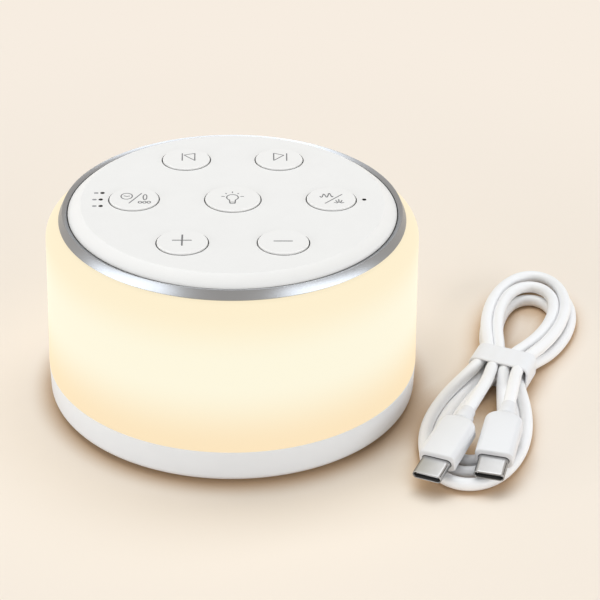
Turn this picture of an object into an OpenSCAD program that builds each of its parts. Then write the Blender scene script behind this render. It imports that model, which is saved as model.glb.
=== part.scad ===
// White noise sound machine: a round base with a speaker that faces down, a
// glowing shade round an inner drum, a bright trim ring and a top plate with
// seven captive push buttons. Its USB-C cable lies beside it, coiled and tied.
// Millimetres. +Z is up, the front faces -Y, and the origin is on the table
// under the middle of the machine.

/* [Body] */
// Diameter at the seam between base and shade
body_d = 105; // [102:0.5:115]
// Height of the base housing up to the seam
base_h = 9.6; // [9.4:0.1:13]
// Height of the shade
shade_h = 42.8; // [41:0.1:60]
// How much the shade draws in towards the top, on radius
shade_draft = 0.9; // [0:0.1:1.5]
// Radius of the shade's shoulder
shoulder_r = 4.4; // [3.6:0.1:5]
// Height of the trim ring
ring_h = 2.6; // [2:0.1:4]
// Rise of the top plate's flat above the trim ring
plate_rise = 2.6; // [2.2:0.1:3.5]
// Width of the top plate's sloping edge
plate_slope = 3.55; // [3:0.05:4.5]
// How far the feet hold the base off the table
foot_out = 1; // [0.5:0.1:2.5]

/* [Walls] */
// Wall of the base housing
base_wall = 2; // [1.6:0.1:2.4]
// Floor of the base housing
floor_t = 2; // [1.8:0.1:3]
// Wall of the shade
shade_wall = 2; // [1.5:0.1:2.4]
// Thickness of the top plate
plate_t = 2; // [1.6:0.1:2.4]
// Wall of the inner drum
core_wall = 1.6; // [1.2:0.1:2.5]
// Radius of the round edge under the base
base_fillet = 2; // [1:0.1:3]

/* [Buttons] */
// From the edge of the raised middle to the middle of a side button
side_button_in = 14.6; // [14:0.1:17]
// Half the distance between the buttons of a row
row_button_x = 13.3; // [10:0.1:15]
// From the edge of the raised middle to the line of a row of buttons
row_button_in = 16.5; // [16:0.1:18]
// Diameter of the middle button
middle_button_d = 15.2; // [12:0.1:18]
// Diameter of the six outer buttons
outer_button_d = 13.5; // [11:0.1:14]
// Gap round each button
button_gap = 0.2; // [0.1:0.05:0.4]
// How far the buttons stand above the plate
cap_rise = 0.5; // [0.3:0.1:1.2]
// How far a button can be pressed
button_travel = 0.5; // [0.2:0.05:0.6]

/* [Speaker] */
// Outer diameter of the speaker's frame
speaker_d = 40; // [40:0.5:42]
// Radius of the speaker's magnet
magnet_r = 12.6; // [11:0.1:13]
// Width of the slots in the grille
slot_w = 1.7; // [1:0.1:2.2]
// Rings of slots in the grille
slot_rings = 4; // [2:1:4]

/* [Light] */
// Gap between the inner drum and the top plate's screw heads
core_gap = 0.4; // [0.4:0.05:0.9]
// Width of the light strip
strip_w = 10; // [6:0.5:14]
// Lights on the strip
light_count = 18; // [8:1:30]

/* [Cable] */
// Diameter of the cable
cable_d = 3.5; // [3:0.1:3.6]
// Length of a plug's moulded grip
grip_l = 16.2; // [12:0.1:17]
// Width of a plug's moulded grip
grip_w = 10.4; // [9.6:0.1:11]
// Thickness of a plug's moulded grip
grip_t = 5.6; // [4.8:0.1:5.8]
// Width of the band round the coil, along the cable
tie_l = 9; // [6:0.5:9.5]

/* [Hidden] */
$fn = 96;
E = 0.01;              // overlap that joins the shapes of one piece
fit_gap = 0.15;        // clearance between parts that seat in each other

body_r = body_d / 2;
base_z = foot_out;
floor_top = base_z + floor_t;
seam_z = base_z + base_h;
shade_top = seam_z + shade_h;
ring_top = shade_top + ring_h;
plateau_z = ring_top + plate_rise;
plate_under = plateau_z - plate_t;
cap_top = plateau_z + cap_rise;

// base housing
base_in_r = body_r - base_wall;
base_draft = 0.2;
seam_edge = 0.25;
lip_h = 2;
lip_t = 1.55;
lip_out_r = body_r - shade_wall - fit_gap;
lip_in_r = min(lip_out_r, base_in_r) - lip_t;
foot_d = 10;
foot_sink = 0.5;
foot_r = body_r - 12.5;
foot_angles = [45, 135, 225, 315];

// screws: head radius, head height, shank radius
base_screw = [2.8, 1.8, 1.45];
plate_screw = [2.3, 1.5, 1.2];
small_screw = [1.9, 1.2, 0.9];
pilot_gap = 0.05;
base_screw_r = body_r - 10.5;
base_screw_angles = [20, 160, 200, 340];
base_boss_d = 9;
base_screw_seat = floor_top + 3;
core_boss_d = 7;
core_boss_h = 5.8;
base_screw_bite = 4;

// shade and trim ring
shade_top_r = body_r - shade_draft;
shade_lip_r = shade_top_r - shoulder_r;     // outer edge of the shade's top lip
shade_lip_w = 2.5;
shade_hole_r = shade_lip_r - shade_lip_w;
ring_foot_r = shade_lip_r - 0.05;
ring_bead_h = 0.8;
ring_bead_w = 0.45;
ring_in_r = ring_foot_r - 1.6;
ring_land = 0.12;
rim_h = 1;                                  // height of the plate's upright rim
ledge_z = ring_top - rim_h;

// top plate
plate_r = ring_in_r - 0.3;
plateau_r = plate_r - plate_slope;
side_button_x = plateau_r - side_button_in;
row_button_y = plateau_r - row_button_in;
skirt_r = shade_hole_r - 0.2;
skirt_t = 1.2;
skirt_h = 5;
post_d = 4.8;
plate_screw_r = skirt_r - skirt_t - post_d / 2 - 0.2;
plate_screw_angles = [90, 210, 330];
board_post_angles = [30, 150, 270];

// control board and switches
board_drop = 6.6;                           // from the plate's underside to the board
board_t = 1.6;
board_top = plate_under - board_drop;
board_bottom = board_top - board_t;
control_board_r = plate_screw_r - post_d / 2 - 0.2;
board_post_r = control_board_r - 5.1;
switch_w = 6;
switch_h = 3.5;
switch_top = board_top + switch_h;
plunger_r = 1.75;
plunger_out = 1.5;
plunger_sink = 0.9;
stem_bottom = switch_top + plunger_out;
stem_r = 1.5;
cap_flange = 0.9;
cap_flange_t = 0.8;
cap_edge = 0.4;
cap_seat = 0.1;
indicator_r = plateau_r - 5.5;
indicator_hole_r = 0.42;
indicator_angles = [173.6, 180, 186.2, 0];

// inner core
deck_gap = 2.4;
deck_t = 2;
deck_top = board_bottom - deck_gap;
deck_bottom = deck_top - deck_t;
deck_r = skirt_r - skirt_t - 0.2;
core_flange_t = 1.6;
core_flange_r = lip_in_r - 0.5;
core_r = plate_screw_r - plate_screw[0] - core_gap;
core_in_r = core_r - core_wall;
strip_t = 0.4;
strip_lift = 13.4;
strip_sweep = 345;
light_size = [1.6, 3.4, 2.8];
strip_wire_angle = 75;
strip_wire_z = seam_z + 9;

// battery
cell_r = 9.2;
cell_end_gap = 3.9;
cell_l = 2 * (core_in_r - cell_end_gap);
cell_gap = 0.1;
holder_t = 1.4;
holder_l = cell_l - 5;
holder_wall = 1.3;
holder_top = deck_bottom;
cell_z = holder_top - holder_t - 0.3 - cell_r;
holder_ear_y = 14;
holder_ear_x = 20;

// speaker
speaker_r = speaker_d / 2;
mesh_t = 0.3;
gasket_t = 0.7;
gasket_w = 2;
frame_z = floor_top + mesh_t + gasket_t;
frame_t = 0.8;
ear_r = speaker_r + 2.6;
ear_d = 5;
ear_angles = [45, 135, 225, 315];
shelf_z = frame_z + 4.6;
shelf_r = magnet_r - 1.6;
basket_top = frame_z + 7;
former_r = 5.95;
former_t = 0.3;
front_plate_t = 1.5;
magnet_t = 4;
back_plate_t = 1.5;
pole_r = 5.1;
magnet_z = basket_top + frame_t + front_plate_t;
surround_out_r = speaker_r - gasket_w - 0.1;
cone_r = surround_out_r - 2.8;

// main board and socket
standoff_h = 0.6;
main_board_t = 1.2;
main_board_z = floor_top + standoff_h;
main_board_top = main_board_z + main_board_t;
main_board_in_r = ear_r + ear_d / 2 + 1.4;
main_board_out_r = base_in_r - 1;
main_board_half = 38;
main_board_mid_r = (main_board_in_r + main_board_out_r) / 2;
ribbon_y = main_board_in_r + 4.5;
ribbon_w = 9;
ribbon_t = 0.8;
main_screws = [[ribbon_y, 62], [ribbon_y, 118], [main_board_out_r - 5.5, 110]];     // radius and angle
chip_at = [[-15, main_board_mid_r - 4], [16, main_board_mid_r - 2], [23, main_board_mid_r + 0.5], [9, main_board_mid_r + 3]];
battery_lead_at = [19.2, ribbon_y - 1];
speaker_lead_at = [-9.2, ribbon_y];
light_lead_at = [9.2, ribbon_y];
socket_w = 8.94;
socket_h = 3.2;
socket_l = 7.3;
socket_t = 0.3;
socket_front = body_r - 0.7;
socket_z = main_board_top + socket_h / 2;
socket_gap = 0.4;
connector_h = 2.4;

// name, x, y and diameter of each button
buttons = [
    ["light", 0, 0, middle_button_d],
    ["previous", -row_button_x, row_button_y, outer_button_d],
    ["next", row_button_x, row_button_y, outer_button_d],
    ["timer", -side_button_x, 0, outer_button_d],
    ["sound", side_button_x, 0, outer_button_d],
    ["volume_up", -row_button_x, -row_button_y, outer_button_d],
    ["volume_down", row_button_x, -row_button_y, outer_button_d]
];

// cable: the coil's middle, its heading and the heading of its band
coil_at = [78.2, 0.3];
coil_turn = -18;
tie_turn = -25;
tie_w = 17.4;
tie_h = 8.6;
tie_t = 0.8;
far_h = 2 * cable_d + 0.1;
near_h = cable_d;
tie_gap = 0.05;
// middle along the coil, middle across it and radius of each circle of its outline
far_outline = [[6, 0.4, 8], [12, 1.3, 9.7], [23, 1.8, 12.2], [36.5, 2.75, 13.25], [46.4, 2.9, 11.6]];
near_outline = [[-5.5, -1, 9.5], [-12.3, -2, 12.2], [-25.5, -1.6, 14.9], [-36.7, -1.1, 15.4], [-45, -0.5, 13.7]];
// plug's tip, its heading, its dip and its roll
plug_a_at = [[50.9, -56.9, 5.4], -29, 10, -4];
plug_b_at = [[67.4, -56.5, 5.4], -18, 10, -1.5];
shell_w = 8.25;
shell_h = 2.4;
shell_l = 6.65;
shell_t = 0.3;
grip_edge = 2.2;
grip_shoulder = 2.6;
neck_d = 5.4;
neck_l = 5.5;
plug_l = shell_l + grip_l + neck_l;
// the two leads, from the band to each plug's neck
lead_a_route = [[74.5, -3.3, 6.1], [73.6, -8, 6.9], [72, -14, 8.4], [69.4, -21, 9.9], [66.7, -27.2, 10.2]];
lead_b_route = [[80.9, -6.2, 6.1], [80.7, -9, 6.7], [79.8, -14, 8.3], [78.3, -20, 9.8], [77, -25.5, 10.1]];

white = [0.94, 0.94, 0.94];
steel = [0.75, 0.76, 0.78];
board_green = [0.10, 0.35, 0.22];
black = [0.12, 0.12, 0.13];

// ---- helpers ----

function arc(x, z, r, from, to, steps = 10) =
    [for (i = [0 : steps]) let (a = from + (to - from) * i / steps) [x + r * cos(a), z + r * sin(a)]];

function unit(v) = v / norm(v);

// point at t along a smooth curve through the points p
function spline_point(p, i, t) =
    let (n = len(p) - 1,
         a = p[max(i - 1, 0)], b = p[i], c = p[min(i + 1, n)], d = p[min(i + 2, n)])
    0.5 * (2 * b + (c - a) * t + (2 * a - 5 * b + 4 * c - d) * t * t + (3 * b - a - 3 * c + d) * t * t * t);

function smooth_route(p, steps) =
    concat([for (i = [0 : len(p) - 2]) for (s = [0 : steps - 1]) spline_point(p, i, s / steps)],
           [p[len(p) - 1]]);

module at_angles(angles, r) {
    for (a = angles) rotate([0, 0, a]) translate([r, 0, 0]) children();
}

// tube swept along the points of a route, closed at both ends
module tube(route, d, up = [0, 0, 1], sides = 8) {
    n = len(route);
    rings = [for (i = [0 : n - 1])
        let (t = unit(route[min(i + 1, n - 1)] - route[max(i - 1, 0)]),
             side = unit(cross(t, up)), top = cross(side, t))
        for (k = [0 : sides - 1])
            route[i] + d / 2 * (cos(360 * k / sides) * side + sin(360 * k / sides) * top)];
    walls = [for (i = [0 : n - 2]) for (k = [0 : sides - 1])
        let (j = (k + 1) % sides)
        [i * sides + k, i * sides + j, (i + 1) * sides + j, (i + 1) * sides + k]];
    first = [for (k = [sides - 1 : -1 : 0]) k];
    last = [for (k = [0 : sides - 1]) (n - 1) * sides + k];
    polyhedron(points = rings, faces = concat([first], walls, [last]));
}

// flat bar with round ends, centred
module stadium(w, h) {
    square([w - h, h], center = true);
    for (s = [-1, 1]) translate([s * (w - h) / 2, 0]) circle(d = h);
}

module rounded_rect(w, h, r) {
    square([w - 2 * r, h], center = true);
    square([w, h - 2 * r], center = true);
    for (x = [-1, 1]) for (y = [-1, 1])
        translate([x * (w / 2 - r), y * (h / 2 - r)]) circle(r = r);
}

// screw with its head's inner face at z = 0, its shank up along +Z and a cross slot
module screw(size, shank_l) {
    translate([0, 0, -size[1]]) difference() {
        cylinder(r = size[0], h = size[1]);
        for (a = [0, 90]) rotate([0, 0, a])
            translate([-size[0] * 0.6, -size[0] * 0.12, -E]) cube([size[0] * 1.2, size[0] * 0.24, size[1] * 0.5]);
    }
    translate([0, 0, -E]) cylinder(r = size[2], h = shank_l + E, $fn = 48);
}

module lead_box(at, turn, size) {
    translate(at) rotate([0, 0, turn]) translate([-size[0] / 2, -size[1] / 2, 0]) cube(size);
}

// ---- base ----

module grille_slots() {
    circle(r = 1.3);
    for (ring = [1 : slot_rings]) {
        r = 1 + 4 * ring;
        count = 2 + ring;
        half = 180 / count - (slot_w / 2 + 1.1) / r * 180 / PI;
        for (k = [0 : count - 1]) rotate([0, 0, 360 * k / count + 30 * ring]) {
            intersection() {
                difference() {
                    circle(r = r + slot_w / 2);
                    circle(r = r - slot_w / 2);
                }
                polygon(concat([[0, 0]], [for (s = [-1, -0.5, 0, 0.5, 1])
                    3 * r * [cos(s * half), sin(s * half)]]));
            }
            for (s = [-1, 1]) rotate([0, 0, s * half]) translate([r, 0]) circle(d = slot_w * 1.06);
        }
    }
}

module base_profile() {
    foot_r_out = body_r - base_draft - base_fillet;
    polygon(concat(
        [[0, base_z]],
        arc(foot_r_out, base_z + base_fillet, base_fillet, -90, 0),
        [[body_r, seam_z - seam_edge], [body_r - seam_edge, seam_z],
         [lip_out_r, seam_z], [lip_out_r, seam_z + lip_h], [lip_in_r, seam_z + lip_h],
         [lip_in_r, seam_z - 0.7], [base_in_r, seam_z - 1.9],
         [base_in_r, floor_top], [0, floor_top]]));
}

module base_housing() {
    color(white) difference() {
        union() {
            rotate_extrude($fn = 180) base_profile();
            at_angles(base_screw_angles, base_screw_r)
                translate([0, 0, floor_top - E]) cylinder(d = base_boss_d, h = seam_z - floor_top + E);
            at_angles(ear_angles, ear_r)
                translate([0, 0, floor_top - E]) cylinder(d = ear_d - 0.4, h = frame_z - floor_top + E);
            for (s = main_screws) at_angles([s[1]], s[0])
                translate([0, 0, floor_top - E]) cylinder(d = 4.6, h = standoff_h + E);
        }
        at_angles(foot_angles, foot_r) translate([0, 0, base_z - 1])
            cylinder(d = foot_d + 2 * fit_gap, h = 1 + foot_sink);
        at_angles(base_screw_angles, base_screw_r) {
            translate([0, 0, base_z - 1]) cylinder(r = base_screw[0] + 0.3, h = base_screw_seat - base_z + 1);
            cylinder(r = base_screw[2] + 0.3, h = seam_z + 1);
        }
        translate([0, 0, base_z - 1]) cylinder(r = speaker_r, h = 1.4);
        translate([0, 0, base_z - 1]) linear_extrude(floor_t + 2) grille_slots();
        at_angles(ear_angles, ear_r) translate([0, 0, base_z + 0.6])
            cylinder(r = small_screw[2] + pilot_gap, h = floor_t + 10);
        for (s = main_screws) at_angles([s[1]], s[0]) translate([0, 0, base_z + 0.6])
            cylinder(r = small_screw[2] + pilot_gap, h = floor_t + 10);
        translate([0, body_r - 4, socket_z]) rotate([-90, 0, 0])
            linear_extrude(8) stadium(socket_w + 2 * socket_gap, socket_h + 2 * socket_gap);
    }
}

module feet() {
    color([0.82, 0.82, 0.83]) at_angles(foot_angles, foot_r)
        rotate_extrude() polygon(concat([[0, 0]], arc(foot_d / 2 - 0.4, 0.4, 0.4, -90, 0, 4),
            [[foot_d / 2, foot_out + foot_sink], [0, foot_out + foot_sink]]));
}

module base_screws() {
    color(steel) at_angles(base_screw_angles, base_screw_r) translate([0, 0, base_screw_seat])
        screw(base_screw, seam_z + core_flange_t + base_screw_bite - base_screw_seat);
}

// ---- shade, ring and top plate ----

module diffuser_shell() {
    center_z = shade_top - shoulder_r;
    color([1, 0.95, 0.8]) rotate_extrude($fn = 180) polygon(concat(
        [[body_r - shade_wall, seam_z], [body_r, seam_z]],
        arc(shade_lip_r, center_z, shoulder_r, 0, 90, 14),
        [[shade_hole_r, shade_top], [shade_hole_r, shade_top - shade_wall]],
        arc(shade_lip_r, center_z, shoulder_r - shade_wall, 90, 0, 10)));
}

module trim_ring() {
    color(steel) rotate_extrude($fn = 180) polygon([
        [shade_hole_r, shade_top], [ring_foot_r, shade_top], [ring_foot_r, shade_top + 0.15],
        [ring_foot_r - ring_bead_w, shade_top + ring_bead_h],
        [ring_in_r + ring_land, ring_top], [ring_in_r, ring_top],
        [ring_in_r, ledge_z], [shade_hole_r, ledge_z]]);
}

// height of the plate's sloping edge above the ring, t from 0 at the rim to 1 at the flat
function slope_z(t) = ring_top + plate_rise * (1.35 * t - 0.35 * t * t);

module top_plate() {
    slope = [for (i = [0 : 8]) [plate_r - plate_slope * i / 8, slope_z(i / 8)]];
    color(white) difference() {
        union() {
            rotate_extrude($fn = 180) polygon(concat(
                [[0, plate_under], [0, plateau_z]],
                [for (i = [8 : -1 : 0]) slope[i]],
                [[plate_r, ledge_z], [skirt_r, ledge_z], [skirt_r, ledge_z - skirt_h],
                 [skirt_r - skirt_t, ledge_z - skirt_h], [skirt_r - skirt_t, ledge_z - 0.1],
                 [plateau_r - 1.1, plate_under]]));
            at_angles(plate_screw_angles, plate_screw_r) translate([0, 0, deck_top])
                cylinder(d = post_d, h = plate_under + 0.4 - deck_top);
            at_angles(board_post_angles, board_post_r) translate([0, 0, board_top])
                cylinder(d = post_d, h = plate_under + 0.4 - board_top);
        }
        for (b = buttons) translate([b[1], b[2], plate_under - 1])
            cylinder(d = b[3] + 2 * button_gap, h = plate_t + 2);
        at_angles(indicator_angles, indicator_r) translate([0, 0, plate_under - 1])
            cylinder(r = indicator_hole_r, h = plate_t + 2, $fn = 32);
        at_angles(plate_screw_angles, plate_screw_r) translate([0, 0, deck_top - 1])
            cylinder(r = plate_screw[2] + pilot_gap, h = 8);
        at_angles(board_post_angles, board_post_r) translate([0, 0, board_top - 1])
            cylinder(r = small_screw[2] + pilot_gap, h = 5);
    }
}

module top_plate_screws() {
    color(steel) at_angles(plate_screw_angles, plate_screw_r) translate([0, 0, deck_bottom])
        screw(plate_screw, deck_t + 6);
}

// ---- buttons and switches ----

module button_cap(index) {
    b = buttons[index];
    r = b[3] / 2;
    flange_top = plate_under - cap_seat;
    color(white) translate([b[1], b[2], 0]) rotate_extrude($fn = 120) polygon(concat(
        [[0, stem_bottom], [stem_r, stem_bottom], [stem_r, flange_top - cap_flange_t],
         [r + cap_flange, flange_top - cap_flange_t], [r + cap_flange, flange_top], [r, flange_top]],
        arc(r - cap_edge, cap_top - cap_edge, cap_edge, 0, 90, 6),
        [[0, cap_top]]));
}

module plunger(index) {
    b = buttons[index];
    color(black) translate([b[1], b[2], switch_top - plunger_sink])
        cylinder(r = plunger_r, h = plunger_sink + plunger_out);
}

module tact_switches() {
    bore = plunger_sink + button_travel + 0.1;
    color(steel) for (b = buttons) translate([b[1], b[2], board_top]) difference() {
        translate([-switch_w / 2, -switch_w / 2, 0]) cube([switch_w, switch_w, switch_h]);
        translate([0, 0, switch_h - bore]) cylinder(r = plunger_r + 0.05, h = bore + 1);
    }
}

module control_board() {
    color(board_green) difference() {
        translate([0, 0, board_bottom]) cylinder(r = control_board_r, h = board_t);
        at_angles(board_post_angles, board_post_r) translate([0, 0, board_bottom - 1])
            cylinder(r = small_screw[2] + 0.2, h = board_t + 2);
    }
}

module control_board_screws() {
    color(steel) at_angles(board_post_angles, board_post_r) translate([0, 0, board_bottom])
        screw([small_screw[0], small_screw[1], small_screw[2]], board_t + 3);
}

module control_chip() {
    color(black) translate([-4, 8, board_bottom - 1]) cube([8, 8, 1]);
}

module indicator_leds() {
    color(white) at_angles(indicator_angles, indicator_r)
        translate([-0.4, -0.8, board_top]) cube([0.8, 1.6, 0.6]);
}

module indicator_light_guides() {
    bar_z = board_top + 0.7;
    color([0.85, 0.9, 0.95]) {
        at_angles(indicator_angles, indicator_r) translate([0, 0, plate_under - E])
            cylinder(r = indicator_hole_r - 0.05, h = plate_t - 0.3, $fn = 32);
        rotate([0, 0, 170.5]) translate([0, 0, bar_z]) rotate_extrude(angle = 19)
            translate([indicator_r - 0.8, 0]) square([1.6, plate_under - bar_z]);
        translate([indicator_r, 0, bar_z]) cylinder(r = 0.8, h = plate_under - bar_z);
    }
}

// ---- inner core and light ----

module inner_core() {
    color(white) difference() {
        union() {
            rotate_extrude($fn = 180) polygon([
                [core_in_r, seam_z], [core_flange_r, seam_z], [core_flange_r, seam_z + core_flange_t],
                [core_r, seam_z + core_flange_t], [core_r, deck_bottom], [deck_r, deck_bottom],
                [deck_r, deck_top], [0, deck_top], [0, deck_bottom], [core_in_r, deck_bottom]]);
            at_angles(base_screw_angles, base_screw_r) translate([0, 0, seam_z])
                cylinder(d = core_boss_d, h = core_flange_t + core_boss_h);
        }
        at_angles(base_screw_angles, base_screw_r) translate([0, 0, seam_z - 1])
            cylinder(r = base_screw[2] + pilot_gap, h = 1 + core_flange_t + base_screw_bite + 0.5);
        at_angles(plate_screw_angles, plate_screw_r) translate([0, 0, deck_bottom - 1])
            cylinder(r = plate_screw[2] + 0.2, h = deck_t + 2);
        for (s = [-1, 1]) translate([s * holder_ear_x, s * holder_ear_y, deck_bottom - 1])
            cylinder(r = small_screw[2] + pilot_gap, h = 1 + deck_t - 0.4);
        translate([-ribbon_w / 2 - 1.5, ribbon_y - 2.2, deck_bottom - 1]) cube([ribbon_w + 3, 4.4, deck_t + 2]);
        rotate([0, 0, strip_wire_angle]) translate([core_in_r - 2, 0, strip_wire_z]) rotate([0, 90, 0])
            cylinder(r = 1.6, h = core_wall + 4);
    }
}

module light_strip() {
    color([0.95, 0.93, 0.85]) rotate([0, 0, strip_wire_angle + 4]) translate([0, 0, seam_z + strip_lift])
        rotate_extrude(angle = strip_sweep, $fn = 180) translate([core_r, 0]) square([strip_t, strip_w]);
}

module light_leds() {
    color([1, 0.9, 0.6]) for (i = [0 : light_count - 1])
        rotate([0, 0, strip_wire_angle + 12 + (strip_sweep - 16) * i / (light_count - 1)])
            translate([core_r + strip_t, -light_size[1] / 2, seam_z + strip_lift + (strip_w - light_size[2]) / 2])
                cube(light_size);
}

// ---- battery ----

module battery_cell() {
    color([0.35, 0.6, 0.85]) translate([-cell_l / 2, 0, cell_z]) rotate([0, 90, 0]) {
        cylinder(r = cell_r, h = cell_l - 1);
        cylinder(r = cell_r * 0.35, h = cell_l);
    }
}

module battery_holder() {
    wall_y = cell_r + cell_gap + holder_wall;
    low_z = cell_z - 3;
    color(black) difference() {
        union() {
            translate([-holder_l / 2, -wall_y, low_z]) cube([holder_l, 2 * wall_y, holder_top - low_z]);
            for (s = [-1, 1]) translate([s * holder_ear_x, s * holder_ear_y, holder_top - holder_t]) {
                cylinder(r = 3.4, h = holder_t);
                translate([-3.4, s > 0 ? -holder_ear_y + cell_r : 0, 0])
                    cube([6.8, holder_ear_y - cell_r, holder_t]);
            }
        }
        translate([-holder_l / 2 - 1, 0, cell_z]) rotate([0, 90, 0])
            cylinder(r = cell_r + cell_gap, h = holder_l + 2);
        for (x = [-12, 12]) translate([x - 7, -wall_y - 1, low_z - 1])
            cube([14, 2 * wall_y + 2, holder_top - holder_t - 3 - low_z]);
        for (s = [-1, 1]) translate([s * holder_ear_x, s * holder_ear_y, holder_top - holder_t - 1])
            cylinder(r = small_screw[2] + 0.2, h = holder_t + 2);
    }
}

module battery_holder_screws() {
    color(steel) for (s = [-1, 1]) translate([s * holder_ear_x, s * holder_ear_y, holder_top - holder_t])
        screw(small_screw, holder_t + deck_t - 0.6);
}

// ---- speaker ----

module speaker_frame() {
    rim_r = speaker_r - 1.6;
    cup_r = magnet_r + 1;
    color(black) difference() {
        union() {
            rotate_extrude() polygon([
                [speaker_r - gasket_w, frame_z], [speaker_r, frame_z], [speaker_r, frame_z + frame_t],
                [rim_r, frame_z + frame_t], [cup_r, shelf_z], [cup_r, basket_top + frame_t],
                [former_r + 0.85, basket_top + frame_t], [former_r + 0.85, basket_top],
                [cup_r - frame_t, basket_top], [cup_r - frame_t, shelf_z + frame_t],
                [shelf_r, shelf_z + frame_t], [shelf_r, shelf_z], [cup_r - 0.9, shelf_z],
                [rim_r - 0.9, frame_z + frame_t], [speaker_r - gasket_w, frame_z + frame_t * 0.6]]);
            at_angles(ear_angles, ear_r) translate([0, 0, frame_z]) cylinder(d = ear_d, h = frame_t);
            at_angles(ear_angles, 0) translate([speaker_r - 1, -ear_d / 2, frame_z])
                cube([ear_r - speaker_r + 1, ear_d, frame_t]);
        }
        at_angles(ear_angles, ear_r) translate([0, 0, frame_z - 1])
            cylinder(r = small_screw[2] + 0.2, h = frame_t + 2);
        for (a = [0, 90, 180, 270]) rotate([0, 0, a])
            translate([cup_r - 2.5, -5, frame_z + frame_t + 0.8]) cube([8, 10, shelf_z - frame_z - frame_t - 1.2]);
    }
}

module speaker_pole_plates() {
    color(steel) {
        translate([0, 0, basket_top + frame_t]) difference() {
            cylinder(r = magnet_r, h = front_plate_t);
            translate([0, 0, -1]) cylinder(r = former_r + 0.35, h = front_plate_t + 2);
        }
        translate([0, 0, magnet_z + magnet_t]) cylinder(r = magnet_r, h = back_plate_t);
        translate([0, 0, basket_top + frame_t]) cylinder(r = pole_r, h = magnet_t + front_plate_t + E);
    }
}

module speaker_magnet() {
    color([0.25, 0.25, 0.27]) translate([0, 0, magnet_z]) difference() {
        cylinder(r = magnet_r, h = magnet_t);
        translate([0, 0, -1]) cylinder(r = former_r + 1.6, h = magnet_t + 2);
    }
}

module speaker_cone() {
    edge_z = frame_z + 0.1;
    neck_z = frame_z + 4.2;
    color(black) {
        rotate_extrude() polygon([
            [cone_r, edge_z], [cone_r, edge_z + 0.5], [former_r, neck_z + 0.5],
            [former_r, magnet_z + 0.8], [former_r - former_t, magnet_z + 0.8],
            [former_r - former_t, neck_z]]);
        rotate_extrude() polygon(concat(
            [for (i = [0 : 6]) [(former_r - 0.1) * i / 6, neck_z - 0.9 + 1.1 * pow(max(i - 1, 0) / 5, 2)]],
            [for (i = [6 : -1 : 0]) [(former_r - 0.1) * i / 6, neck_z - 0.5 + 1.1 * pow(max(i - 1, 0) / 5, 2)]]));
    }
}

module speaker_surround() {
    mid = (cone_r + surround_out_r) / 2;
    half = (surround_out_r - cone_r) / 2 - 0.1;
    z = frame_z + 0.1;
    color([0.2, 0.2, 0.2]) rotate_extrude() polygon(concat(
        [for (i = [0 : 8]) [mid - half + half * i / 4, z - 0.6 * sin(180 * i / 8)]],
        [for (i = [8 : -1 : 0]) [mid - half + half * i / 4, z + 0.35 - 0.6 * sin(180 * i / 8)]]));
}

module speaker_spider() {
    in_r = former_r + 0.1;
    out_r = magnet_r + 0.1;
    z = shelf_z + frame_t;
    steps = 24;
    wave = 0.18;
    color([0.75, 0.6, 0.35]) rotate_extrude() polygon(concat(
        [for (i = [0 : steps]) [in_r + (out_r - in_r) * i / steps,
            z + 0.05 + wave * (1 - cos(360 * 3 * i / steps))]],
        [for (i = [steps : -1 : 0]) [in_r + (out_r - in_r) * i / steps,
            z + 0.3 + wave * (1 - cos(360 * 3 * i / steps))]]));
}

module speaker_gasket() {
    color([0.3, 0.3, 0.3]) translate([0, 0, floor_top + mesh_t]) difference() {
        cylinder(r = speaker_r, h = gasket_t);
        translate([0, 0, -1]) cylinder(r = speaker_r - gasket_w, h = gasket_t + 2);
    }
}

module speaker_screws() {
    color(steel) at_angles(ear_angles, ear_r) translate([0, 0, frame_z + frame_t]) mirror([0, 0, 1])
        screw(small_screw, frame_t + gasket_t + mesh_t + floor_t - 0.8);
}

module grille_mesh() {
    color([0.15, 0.15, 0.15]) translate([0, 0, floor_top]) cylinder(r = speaker_r, h = mesh_t);
}

// ---- main board, socket and wiring ----

module board_sector(half, r_in, r_out) {
    intersection() {
        difference() {
            circle(r = r_out);
            circle(r = r_in);
        }
        polygon(concat([[0, 0]], [for (i = [-3 : 3]) 2 * r_out * [sin(half * i / 3), cos(half * i / 3)]]));
    }
}

module main_board() {
    color(board_green) difference() {
        translate([0, 0, main_board_z]) linear_extrude(main_board_t)
            board_sector(main_board_half, main_board_in_r, main_board_out_r);
        for (s = main_screws) at_angles([s[1]], s[0]) translate([0, 0, main_board_z - 1])
            cylinder(r = small_screw[2] + 0.2, h = main_board_t + 2);
    }
}

module main_board_screws() {
    color(steel) for (s = main_screws) at_angles([s[1]], s[0]) translate([0, 0, main_board_top]) mirror([0, 0, 1])
        screw(small_screw, main_board_t + standoff_h + floor_t - 0.8);
}

module main_board_chips() {
    color(black) {
        lead_box([chip_at[0].x, chip_at[0].y, main_board_top], 24, [6, 5, 1.2]);
        lead_box([chip_at[1].x, chip_at[1].y, main_board_top], -24, [5, 5, 1.2]);
        lead_box([chip_at[2].x, chip_at[2].y, main_board_top], -30, [4, 4, 2]);
        translate([chip_at[3].x, chip_at[3].y, main_board_top]) cylinder(r = 2, h = 2.6);
    }
}

module usb_c_socket() {
    color(steel) translate([0, socket_front - socket_l, socket_z]) rotate([-90, 0, 0]) {
        difference() {
            linear_extrude(socket_l) stadium(socket_w, socket_h);
            translate([0, 0, 0.8]) linear_extrude(socket_l)
                stadium(socket_w - 2 * socket_t, socket_h - 2 * socket_t);
        }
        translate([-3.35, -0.35, 0.5]) cube([6.7, 0.7, socket_l - 1.3]);
    }
}

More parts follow.
